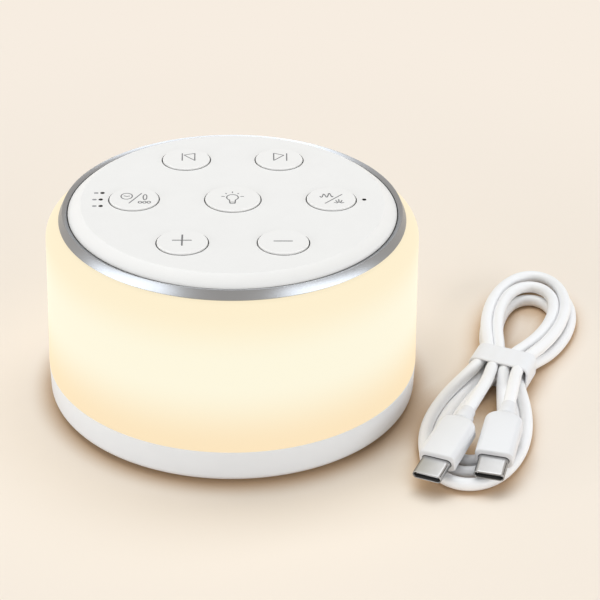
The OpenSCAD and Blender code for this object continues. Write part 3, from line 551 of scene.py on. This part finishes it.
def fold(side, reach, out_belly, back_belly, sharpness, leave, enter,
         leave_z, enter_z, mid_z, drop):
    """One turn of the coil, from the band out to its far end and back.

    With t from 0 to one full turn, the distance along is (1 - cos t) / 2 of the reach, the
    distance across is a belly times sin t times |sin t/2| to the sharpness, and the height
    eases from the layer in the band to mid_z, the sooner the greater drop is.
    """
    lean = math.radians(BAND_TURN - COIL_TURN)
    t = np.linspace(0, 2 * np.pi, 60)
    ease = (t - np.sin(t)) / (2 * np.pi)

    def in_band(slot):
        along = side * BAND_END * math.cos(lean) + slot * math.sin(lean)
        return along, slot * math.cos(lean) - side * BAND_END * math.sin(lean)

    along_a, across_a = in_band(leave)
    along_b, across_b = in_band(enter)
    along = side * (reach - BAND_END) * (1 - np.cos(t)) / 2 + along_a * (1 - ease) + along_b * ease
    belly = np.where(t < np.pi, out_belly, back_belly)
    bow = np.sin(t) * np.abs(np.sin(t / 2)) ** sharpness
    across = -np.sign(enter - leave) * belly * bow + across_a * (1 - ease) + across_b * ease
    down = np.clip(np.sin(t / 2) * drop, 0, 1)
    down = down * down * (3 - 2 * down)
    height = np.where(t < np.pi, leave_z, enter_z) * (1 - down) + mid_z * down
    return turned_about(COIL_TURN, along, across, height)


def neck_end(plug_at, settings, further=0.0):
    """Where the cable leaves a plug, or a point further along its axis."""
    tip, heading, dip, _ = plug_at
    h, d = math.radians(heading), math.radians(dip)
    reach = (settings.shell_length + settings.grip_length + settings.neck_length) / MM + further
    return np.array(tip) + reach * np.array([-math.sin(h) * math.cos(d), math.cos(h) * math.cos(d),
                                             math.sin(d)])


def pushed_apart(path, diameter, rounds):
    """The path with its turns moved apart until they lie a diameter from each other.

    In each round, every two points closer than a diameter, five or more steps apart along the
    path, are pushed away from each other by half of what is missing. The sum of the pushes is
    kept smooth along the path, nothing sinks below the table, and the band holds what passes
    through it within its width. The shifts also shrink a little, but not in the last 60 rounds,
    and in the last 40 they are smoothed once and not twice.
    """
    steps_apart, too_close, wanted = 5, diameter * 1.01, diameter * 1.02
    push_share, smoothing, relaxed = 0.9, 0.35, 0.995
    last_relaxed, last_smooth = rounds - 60, rounds - 40
    hold_until, hold_fade, hold_share = 7.5, 2.5, 0.5
    fixed = 3
    first, second = np.triu_indices(len(path), steps_apart)
    turn_angle = math.radians(-BAND_TURN)
    along = np.array([math.sin(turn_angle), math.cos(turn_angle)])
    across = np.array([math.cos(turn_angle), -math.sin(turn_angle)])
    shift = np.zeros_like(path)
    for turn in range(rounds):
        at = path + shift
        apart = at[first] - at[second]
        gap = np.linalg.norm(apart, axis=1)
        close = gap < too_close
        a, b, apart, gap = first[close], second[close], apart[close], gap[close]
        push = 0.5 * ((wanted - gap) / np.maximum(gap, 1e-6))[:, None] * apart
        total, hits = np.zeros_like(path), np.zeros(len(path))
        np.add.at(total, a, push)
        np.add.at(total, b, -push)
        np.add.at(hits, a, 1)
        np.add.at(hits, b, 1)
        shift += push_share * total / np.sqrt(np.maximum(hits, 1))[:, None]
        for _ in range(2 if turn < last_smooth else 1):
            shift[1:-1] += smoothing * ((shift[:-2] + shift[2:]) / 2 - shift[1:-1])
        if turn < last_relaxed:
            shift *= relaxed
        flat = (path + shift)[:, :2] - np.array(COIL_AT)
        inside = np.clip((hold_until - np.abs(flat @ along)) / hold_fade, 0, 1)
        off = flat @ across - BAND_SIDE
        beyond = off - np.clip(off, -BAND_HOLD, BAND_HOLD)
        shift[:, :2] -= (hold_share * inside * beyond)[:, None] * across
        shift[:, 2] = np.maximum(shift[:, 2], diameter / 2 - path[:, 2])
        shift[:fixed] = 0
        shift[-fixed:] = 0
    return path + shift


def cable_route(diameter, plug):
    """The cable's middle line in millimetres, from plug A through seven folds to plug B."""
    folds = [
        fold(1, 49.4, 8.6, 10.6, 0.8, -1.8, 2.2, HIGH, HIGH, UPPER_LAYER, 2.2),
        fold(-1, 49.4, 8.6, 9.4, 0.9, 2.2, -1.8, HIGH, LOW, FLOOR_LAYER, 1.5),
        fold(1, 47.2, 7.2, 10.8, 0.7, -1.8, 2.4, LOW, LOW, FLOOR_LAYER, 2.2),
        fold(-1, 54.4, 10.8, 9.2, 0.95, 2.4, -5.4, LOW, LOW, FLOOR_LAYER, 1.5),
        fold(1, 56.4, 7.6, 11.4, 0.6, -5.4, 6.9, LOW, 3.3, FLOOR_LAYER, 2.2),
        fold(-1, 59.8, 10.2, 10.4, 0.95, 6.9, -5.4, 3.3, HIGH, FLOOR_LAYER, 1.5),
        fold(1, 56.2, 6.4, 9.4, 0.75, -5.4, 5.7, HIGH, HIGH, UPPER_LAYER, 2.2),
    ]
    step, inside_neck = 2.4, -2
    lead_a, lead_b = (
        curve_through([neck_end(at, plug, inside_neck), neck_end(at, plug), *lead], 4)
        for at, lead in ((PLUG_A_AT, LEAD_A[::-1]), (PLUG_B_AT, LEAD_B[::-1])))
    rough = evenly(joined(lead_a, *folds, lead_b[::-1]), step)
    rough = evenly(softened(rough, 5.0), step)
    return curve_through(softened(pushed_apart(rough, diameter, 300), 1.2), 3)


# ---- plugs ----

def on_plug(points, plug_at):
    """Points in a plug's own axes, rolled, dipped and turned to where the plug lies."""
    tip, heading, dip, roll = plug_at
    turn, tilt, spin = (Matrix.Rotation(math.radians(angle), 3, axis)
                        for angle, axis in ((heading, "Z"), (dip, "X"), (roll, "Y")))
    return points @ np.array(turn @ tilt @ spin).T + np.array(tip)


def rounded_sections(along, half_width, half_height, corner, sides=48):
    """Rounded rectangles across the Y axis, one at each place along it.

    A circle of the corner's radius is moved outwards, each quarter of it to its own corner.
    """
    a = (np.arange(sides) + 0.5) * 2 * np.pi / sides
    along, half_width, half_height, corner = (
        np.broadcast_to(np.asarray(v, float), np.shape(along))[:, None]
        for v in (along, half_width, half_height, corner))
    x = np.sign(np.cos(a)) * (half_width - corner) + corner * np.cos(a)
    z = np.sign(np.sin(a)) * (half_height - corner) + corner * np.sin(a)
    return np.stack([x, along + 0 * a, z], -1)


def grip_sections(s):
    """A plug's grip: rounded front edge, straight sides, round shoulders, collar and neck.

    The front edge and the shoulders follow quarters of a circle, and the neck is round.
    """
    front, grip, neck_length, shoulder = in_mm(s.shell_length, s.grip_length, s.neck_length,
                                               s.shoulder)
    wide, high, corner, neck = in_mm(s.grip_width / 2, s.grip_height / 2, s.grip_corner,
                                     s.neck_diameter / 2)
    rear = front + grip
    edge, tail_edge, crown = 0.5, 0.3, 0.1
    out, back = rounding(6)
    far, near = rounding(10)
    inset = edge * back
    # how far behind the shoulders, and how far inside the neck's radius: groove, collar, step
    along, inside = np.array([(0.02, 0.05), (0.25, 0.28), (0.45, 0.1), (0.75, 0), (2.7, 0.02),
                              (2.85, 0.08), (2.95, 0.3), (3.1, 0.52)]).T
    along = joined(along, neck_length - tail_edge * back)
    radius = neck - joined(inside, 0.56 + tail_edge * out)
    parts = [
        (front + edge * out, wide - inset, high - inset, corner - inset),
        (rear - shoulder * near, wide - shoulder * far, high - crown * far,
         np.minimum(corner + 0.4 * far, high - crown * far - 0.05)),
        (rear + along, radius, radius, radius - 0.01),
    ]
    return rounded_sections(*(joined(*run) for run in zip(*parts)))


def shell_sections(s):
    """The plug's shell of rolled sheet: out along its inside, round the lip and back outside."""
    wide, high, wall, long = in_mm(s.shell_width, s.shell_height, s.shell_wall, s.shell_length)
    lip = np.linspace(0, np.pi, 9)
    along = joined([1.4, 1.0, 0.6], wall / 2 * (1 - np.sin(lip)), [0.6, 2.0, long + 0.2])
    inset = joined([wall + 0.45, wall, wall], wall / 2 * (1 + np.cos(lip)), [0, 0, 0])
    return rounded_sections(along, wide / 2 - inset, high / 2 - inset,
                            np.maximum(high / 2 - inset - 0.01, 0.2))


def mouth_sections(s):
    """The dark cup inside a plug's shell: over its rear, forward outside and back inside."""
    wide, high, wall = in_mm(s.shell_width, s.shell_height, s.shell_wall)
    overlap = 0.02
    return rounded_sections(
        np.array([5.2, 5.2, 0.55, 0.45, 0.45, 0.55, 5.0, 5.0]),
        wide / 2 - wall + overlap - np.array([3, 0, 0, 0.06, 0.3, 0.36, 0.36, 3.3]),
        high / 2 - wall + overlap - np.array([0.8, 0, 0, 0.06, 0.3, 0.36, 0.36, 0.8]), 0.08)


def seam_shade_sections(s):
    """Painted shade for the seam where a plug's shell goes into its grip: a dark flat ring round
    the shell.
    """
    wide, high, long = in_mm(s.shell_width, s.shell_height, s.shell_length)
    beyond = np.array([0.14, 0.14, -0.05, -0.05])
    return rounded_sections(long + np.array([0.2, -0.05, -0.05, 0.2]), wide / 2 + beyond,
                            high / 2 + beyond, high / 2 + beyond - 0.01)


def contact_pads(spots, size, lift):
    """Small pads with a rounded rim, one at each x and z, facing up or down."""
    out, back = rounding(4)
    rim = joined([0], 0.04 * (1 - back))
    pad = rounded_sections(lift * joined([0], 0.4 + 0.6 * out), size[0] / 2 - rim,
                           size[1] / 2 - rim, 0.03, 16)
    return [np.stack([pad[..., 0] + x, pad[..., 2], z + facing * pad[..., 1]], -1)
            for x, z, facing in spots]


def band_surface(s):
    """The coil's band: a thin section carried round a rounded rectangle.

    The section is the face, a half-round edge, the inside and the other half-round edge. The
    upper side dips by up to 0.08 mm between the strands under it.
    """
    wide, high, long, wall = in_mm(s.band_width, s.band_height, s.band_length, s.band_wall)
    corner, dip, spacing, forward = 2.6, 0.08, 3.6, -0.7
    outline = rounded_sections([0], wide / 2, high / 2, corner, 144)[0, :, ::2]
    outline = evenly(joined(outline, outline[:1]), 0.3)[:-1]
    ahead = np.roll(outline, -1, 0) - np.roll(outline, 1, 0)
    normal = unit(np.stack([ahead[:, 1], -ahead[:, 0]], -1))
    e = np.linspace(0, np.pi, 9)[1:-1]
    edge = wall / 2
    half = long / 2 - edge
    face = np.linspace(-1, 1, 9)
    along = joined(face * half, half + edge * np.sin(e), -face * half, -half - edge * np.sin(e))
    deep = joined(0 * face, edge * (1 - np.cos(e)), 0 * face + wall, edge * (1 + np.cos(e)))
    top = np.clip(outline[:, 1] / (high / 2) * 4 - 3, 0, 1)
    wave = (1 - np.cos(outline[:, 0] * 2 * np.pi / spacing + np.pi)) / 2
    inward = deep[None, :] * 0.98 + (dip * top * wave)[:, None]
    flat = outline[:, None] - normal[:, None] * inward[..., None]
    return turned_about(BAND_TURN, along[None, :] + forward + 0 * inward,
                        flat[..., 0] + BAND_SIDE, flat[..., 1] + high / 2)


# ---- icons ----

def arc(x, y, rx, ry, start, end, steps):
    """Points along part of an ellipse, angles in degrees."""
    a = np.radians(np.linspace(start, end, steps))
    return np.stack([x + rx * np.cos(a), y + ry * np.sin(a)], -1)


def stroke(line, width, rise, base):
    """A raised line with round ends: half an ellipse in section, carried along the line."""
    line = evenly(np.asarray(line, float), 0.12)
    heading = unit(np.gradient(line, axis=0))
    side = np.stack([-heading[:, 1], heading[:, 0]], -1)
    run = distances(line)
    to_end = np.minimum(run, run[-1] - run) + 0.03
    taper = np.sqrt(np.clip(1 - (1 - np.clip(to_end / (width / 2), 0, 1)) ** 2, 0.05, 1))
    a = np.linspace(0, 2 * np.pi, 10, endpoint=False)
    across = (width / 2 * taper)[:, None] * np.cos(a)
    lift = np.where(np.sin(a) > 0, rise * np.sin(a), -0.02)
    flat = line[:, None] + side[:, None] * across[..., None]
    return np.concatenate([flat, np.broadcast_to(base + lift, across.shape)[..., None]], -1)


def icon_lines():
    """The lines of each button's symbol, in millimetres about the middle of its cap."""
    run = np.linspace(0, 3.6, 60)
    swing = 1.15 * np.sin(run * 2 * np.pi / 1.5) * (0.75 + 0.1 * run)
    wave = np.stack([run - 3.1, 1.2 + 0.2 * run - swing], -1)
    rays = [[[2.0 + 0.7 * math.cos(a), -3.2 + 0.8 * math.sin(a)],
             [2.0 + 1.45 * math.cos(a), -3.2 + 2.4 * math.sin(a)]]
            for a in np.radians([14, 52, 90, 128, 166])]
    bulb = joined([[-0.8, -3.3], [-0.9, -1.7]], arc(-0.1, 0.35, 1.6, 1.75, 238, -58, 40),
                  [[0.7, -1.7], [0.6, -3.3]])
    dots = [arc(x, -2.6, 0.45, 0.6, 0, 360, 20) for x in (1.75, 2.95, 4.15)]
    return {
        "previous": [[[-1.2, 3.35], [-1.15, -1.5]],
                     [[-0.7, 2.2], [2.4, 3.35], [2.45, -1.4], [-0.7, 2.2]]],
        "next": [[[2.25, 3.4], [2.15, -1.5]],
                 [[1.4, 2.2], [-1.5, 3.5], [-1.55, -1.3], [1.4, 2.2]]],
        "timer": [arc(-2.05, 1.05, 1.55, 1.8, 0, 360, 40),
                  [[-2.9, 1.35], [-2.0, 0.95], [-1.15, 1.2]],
                  [[-1.3, -3.3], [2.0, 2.9]], arc(3.0, 0.5, 0.5, 1.6, 0, 360, 30), *dots],
        "sound": [wave, [[-1.9, -3.3], [3.1, 2.3]], *rays,
                  arc(2.0, -3.2, 0.65, 0.6, 0, 180, 14)],
        "volume_up": [[[-2.75, 0.55], [2.5, 0.55]], [[-0.05, 3.7], [-0.05, -2.5]]],
        "volume_down": [[[-2.65, 0.07], [2.5, 0.07]]],
        "light": [bulb, [[-0.85, -2.5], [0.65, -2.5]], [[-0.8, -3.3], [0.6, -3.3]],
                  [[-3.15, 0.95], [-2.2, 0.95]], [[-2.05, 2.95], [-1.65, 2.5]],
                  [[-0.1, 3.95], [-0.1, 3.05]], [[1.65, 2.95], [1.3, 2.5]],
                  [[2.05, 0.95], [3.05, 0.95]]],
    }


# ---- operators ----

class SOUND_MACHINE_OT_camera(bpy.types.Operator):
    """Places the camera in front of the machine and above it, turned a little to the right"""

    bl_idname = "sound_machine.camera"
    bl_label = "Camera"

    def execute(self, context):
        stand = (0, -0.44788, 0.28452)
        right = (0.99932192, -0.03277705, 0.01677423)
        up = (0.00181332, 0.49883254, 0.86669649)
        back = (-0.03677528, -0.86607838, 0.49855372)
        data = bpy.data.cameras.new("camera")
        data.sensor_width = 36
        data.lens = 109.2
        data.clip_start = 0.01
        camera = bpy.data.objects.new("camera", data)
        context.scene.collection.objects.link(camera)
        axes = Matrix((right, up, back)).transposed().to_4x4()
        camera.matrix_world = Matrix.Translation(stand) @ axes
        context.scene.camera = camera
        return {"FINISHED"}


class SOUND_MACHINE_OT_finishes(bpy.types.Operator):
    """Makes every finish and gives each carried-over piece its own"""

    bl_idname = "sound_machine.finishes"
    bl_label = "Finishes"

    def execute(self, context):
        scene = context.scene
        packed = list(bpy.data.materials)
        for material in packed:
            material.name = "packed_" + material.name
        make_finishes(scene.sound_machine, scene.sound_machine_cable, scene.sound_machine_plug)
        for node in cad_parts.values():
            for place in node.material_slots:
                place.material = FINISHES[place.material.name.removeprefix("packed_")]
        for material in packed:
            bpy.data.materials.remove(material)
        return {"FINISHED"}


class SOUND_MACHINE_OT_cable(bpy.types.Operator):
    """Lays the cable in its coil"""

    bl_idname = "sound_machine.cable"
    bl_label = "Cable"

    def execute(self, context):
        cable, plug = context.scene.sound_machine_cable, context.scene.sound_machine_plug
        diameter = cable.diameter / MM
        path = cable_route(diameter, plug)
        made = piece("cable", [shell(tube(path, diameter / 2, 20))], "cable_jacket",
                     replaces=("cable_hank", "cable_lead_a", "cable_lead_b"))
        return {"FINISHED"}


class SOUND_MACHINE_OT_plugs(bpy.types.Operator):
    """Makes the two USB-C plugs: grip, metal shell, dark mouth and a painted shade for the seam"""

    bl_idname = "sound_machine.plugs"
    bl_label = "Plugs"

    def execute(self, context):
        s = context.scene.sound_machine_plug
        for letter, at in (("a", PLUG_A_AT), ("b", PLUG_B_AT)):
            piece(f"plug_{letter}_grip", [shell(on_plug(grip_sections(s), at))],
                  "plug_plastic", replaces=(f"plug_{letter}_body",), crease=50)
            piece(f"plug_{letter}_metal", [shell(on_plug(shell_sections(s), at))],
                  "plug_steel", replaces=(f"plug_{letter}_shell",))
            piece(f"plug_{letter}_mouth", [shell(on_plug(mouth_sections(s), at)),
                                           shell(on_plug(seam_shade_sections(s), at), True)],
                  "mouth_plastic")
        return {"FINISHED"}


class SOUND_MACHINE_OT_band(bpy.types.Operator):
    """Wraps the band round the coil"""

    bl_idname = "sound_machine.band"
    bl_label = "Band"

    def execute(self, context):
        grid = band_surface(context.scene.sound_machine_cable)
        piece("cable_band", [shell(grid, True)], "tie_silicone", replaces=("cable_tie",),
              crease=60)
        return {"FINISHED"}


class SOUND_MACHINE_OT_ring(bpy.types.Operator):
    """Turns the bright ring between the shade and the top plate"""

    bl_idname = "sound_machine.ring"
    bl_label = "Trim ring"

    def execute(self, context):
        # foot on the shade, outer edge, crest, step down, inner edge and ledge under the plate
        out, back = rounding(6)
        outer, crest, inner = 0.12, 0.16, 0.08
        radii = joined(
            [SHADE_HOLE_R, RING_FOOT_R - 0.3, RING_OUT_R - 0.25], RING_OUT_R - outer * back,
            RING_CREST_R + crest * (1 - out), [RING_IN_R + 0.14], RING_IN_R + inner * back,
            [RING_IN_R, SHADE_HOLE_R])
        heights = joined(
            [SHADE_TOP, SHADE_TOP, RING_EDGE_Z - 0.22], RING_EDGE_Z + 0.1 * out - 0.08,
            RING_CREST_Z - crest * back, [RING_TOP + 0.06], RING_TOP - inner * out,
            [LEDGE_Z, LEDGE_Z])
        piece("trim_band", [shell(turned(radii, heights), True)], "ring_metal",
              replaces=("trim_ring",), crease=35)
        return {"FINISHED"}


class SOUND_MACHINE_OT_gap_shade(bpy.types.Operator):
    """Lines the gap round the top plate and the gap round each button with dark rings of painted
    shade
    """

    bl_idname = "sound_machine.liners"
    bl_label = "Gap liners"

    def execute(self, context):
        out, back = rounding(3)
        # dark walls of painted shade down in each gap, with a rounded top: middle, inner and outer
        # radius, foot and top
        walls = [((0, 0), RING_IN_R - 0.28, RING_IN_R - 0.02, LEDGE_Z + 0.02, RING_TOP - 0.15)]
        walls += [(at, radius - 0.11, radius - 0.01, PLATE_UNDER + 0.03, PLATEAU_Z - 0.12)
                  for at, radius in BUTTON_GAPS]
        shells = []
        for at, inner, outer, low, high in walls:
            edge = (outer - inner) * 0.3
            radii = joined([inner], inner + edge * out, outer - edge * back, [outer])
            heights = joined([low], high - edge * back, high - edge * out, [low])
            shells.append(shell(turned(radii, heights, 192, at), True))
        # low dark lips that lie on the plate round the openings, with rounded shoulders: a painted
        # shadow line round each button
        lip, edge, rise, sunk = 0.13, 0.04, 0.02, -0.05
        for at, radius in BUTTON_GAPS:
            radii = radius + joined([-0.01], edge * out, lip - edge * out[::-1], [lip])
            up = rise * (1 - back)
            heights = PLATEAU_Z + joined([sunk], up, up[::-1], [sunk])
            shells.append(shell(turned(radii, heights, 192, at), True))
        piece("gap_liners", shells, "gap_rubber")
        return {"FINISHED"}


class SOUND_MACHINE_OT_icons(bpy.types.Operator):
    """Prints the symbol on each button as grey lines, whose grey is painted shade in place of the
    symbol's moulded grooves
    """

    bl_idname = "sound_machine.icons"
    bl_label = "Icons"

    def execute(self, context):
        s = context.scene.sound_machine
        width, rise = in_mm(s.line_width, s.line_rise)
        for button, lines in icon_lines().items():
            broad = 1.35 if "volume" in button else 1
            middle = np.array([*BUTTON_AT[button], 0])
            piece(f"icon_{button}", [shell(stroke(line, width * broad, rise, CAP_TOP) + middle)
                                     for line in lines], "icon_print", f"button_{button}")
        return {"FINISHED"}


class SOUND_MACHINE_OT_marks(bpy.types.Operator):
    """Prints a mark beside each indicator on the left and sets a dark window in every hole"""

    bl_idname = "sound_machine.marks"
    bl_label = "Indicator marks"

    def execute(self, context):
        rise, = in_mm(context.scene.sound_machine.line_rise)
        places = INDICATOR_R * np.array([[math.cos(math.radians(angle)),
                                          math.sin(math.radians(angle))]
                                         for angle in (*MARK_ANGLES, SINGLE_ANGLE)])
        width, near, far = 0.9, 1.1, 2.35
        piece("indicator_marks", [shell(stroke([[x - far, y], [x - near, y]], width, rise,
                                               PLATEAU_Z)) for x, y in places[:-1]],
              "mark_print")
        # a flat disc with a rounded edge, on a stem that goes down its hole
        out, back = rounding(4)
        disc, edge, top, stem, down = 0.6, 0.04, 0.05, 0.4, -0.8
        radii = joined([0.02], disc - edge * back, [disc, stem, stem, 0.02])
        heights = PLATEAU_Z + joined([top], top - edge * out, [-0.01, -0.02, down, down])
        piece("indicator_windows", [shell(turned(radii, heights, 32, at)) for at in places],
              "window_plastic")
        return {"FINISHED"}


class SOUND_MACHINE_OT_socket(bpy.types.Operator):
    """Lays the gold contacts on the socket's tongue"""

    bl_idname = "sound_machine.socket"
    bl_label = "Socket contacts"

    def execute(self, context):
        outermost, tongue_half, behind = 2.75, 0.35, 3.0
        spots = [(x, tongue_half * facing, facing) for facing in (-1, 1)
                 for x in np.linspace(-outermost, outermost, 12)]
        middle = np.array([0, SOCKET_FRONT - behind, SOCKET_Z])
        pads = contact_pads(spots, (0.26, 3.4), 0.04)
        piece("socket_contacts", [shell(pad + middle) for pad in pads], "contact_gold")
        return {"FINISHED"}


class SOUND_MACHINE_OT_studio(bpy.types.Operator):
    """Sets up the pale floor, the room and its soft lights"""

    bl_idname = "sound_machine.studio"
    bl_label = "Studio"

    def execute(self, context):
        s = context.scene.sound_machine_studio
        scene = context.scene
        scene.view_settings.view_transform = "Standard"
        mesh = bpy.data.meshes.new("floor")
        reach, low = 6.0, -0.05 * MM
        corners = ((-reach, -reach), (reach, -reach), (reach, reach), (-reach, reach))
        mesh.from_pydata([(x, y, low) for x, y in corners], [], [(0, 1, 2, 3)])
        floor = bpy.data.objects.new("floor", mesh)
        scene.collection.objects.link(floor)
        mesh.materials.append(paper(s.floor_color, s.painted_shadow_color, s.backdrop_color))
        for name, place, size, watts in (
                ("light_top", (-0.05, 0.26, 0.9), (1.04, 0.4), s.top_power),
                ("light_left", (-0.68, -0.32, 0.16), (0.8, 0.3), s.left_power),
                ("light_right", (0.65, -0.39, 0.22), (0.82, 0.25), s.right_power)):
            data = bpy.data.lights.new(name, "AREA")
            data.shape = "RECTANGLE"
            data.size, data.size_y = size
            data.energy = watts
            data.color = (0.95, 0.98, 1)
            lamp = bpy.data.objects.new(name, data)
            lamp.location = place
            aim = Vector((0.02, 0, 0.03)) - lamp.location
            lamp.rotation_euler = aim.to_track_quat("-Z", "Y").to_euler()
            scene.collection.objects.link(lamp)
        world = bpy.data.worlds.new("room")
        world.use_nodes = True
        scene.world = world
        tree = world.node_tree
        room = tree.nodes["Background"]
        feed(tree, room, {"Color": (0.97, 0.985, 1, 1), "Strength": s.ambient})
        seen = add(tree, "Background", {"Color": (*s.backdrop_color, 1), "Strength": 1})
        choose = add(tree, "MixShader", {0: seen_or_mirrored(tree), 1: room, 2: seen})
        feed(tree, tree.nodes["World Output"], {"Surface": choose})
        return {"FINISHED"}


class SOUND_MACHINE_PT_panel(bpy.types.Panel):
    """Lists the sizes, colours and steps of the sound machine"""

    bl_idname = "SOUND_MACHINE_PT_panel"
    bl_label = "Sound Machine"
    bl_space_type = "VIEW_3D"
    bl_region_type = "UI"
    bl_category = "Sound Machine"

    def draw(self, context):
        for group, kind in SETTINGS.items():
            box = self.layout.box()
            for name in kind.__annotations__:
                box.prop(getattr(context.scene, group), name)
        for step in STEPS:
            self.layout.operator(step.bl_idname)


SETTINGS = {
    "sound_machine": MachineSettings,
    "sound_machine_cable": CableSettings,
    "sound_machine_plug": PlugSettings,
    "sound_machine_studio": StudioSettings,
}
STEPS = [
    SOUND_MACHINE_OT_camera,
    SOUND_MACHINE_OT_finishes,
    SOUND_MACHINE_OT_plugs,
    SOUND_MACHINE_OT_band,
    SOUND_MACHINE_OT_cable,
    SOUND_MACHINE_OT_ring,
    SOUND_MACHINE_OT_gap_shade,
    SOUND_MACHINE_OT_icons,
    SOUND_MACHINE_OT_marks,
    SOUND_MACHINE_OT_socket,
    SOUND_MACHINE_OT_studio,
]


def register():
    for kind in [*SETTINGS.values(), *STEPS, SOUND_MACHINE_PT_panel]:
        bpy.utils.register_class(kind)
    for group, kind in SETTINGS.items():
        setattr(bpy.types.Scene, group, PointerProperty(type=kind))


def unregister():
    for group in SETTINGS:
        delattr(bpy.types.Scene, group)
    for kind in [SOUND_MACHINE_PT_panel, *STEPS[::-1], *list(SETTINGS.values())[::-1]]:
        bpy.utils.unregister_class(kind)


def main():
    register()
    for step in STEPS:
        getattr(bpy.ops.sound_machine, step.bl_idname.split(".")[1])()


if __name__ == "__main__":
    main()
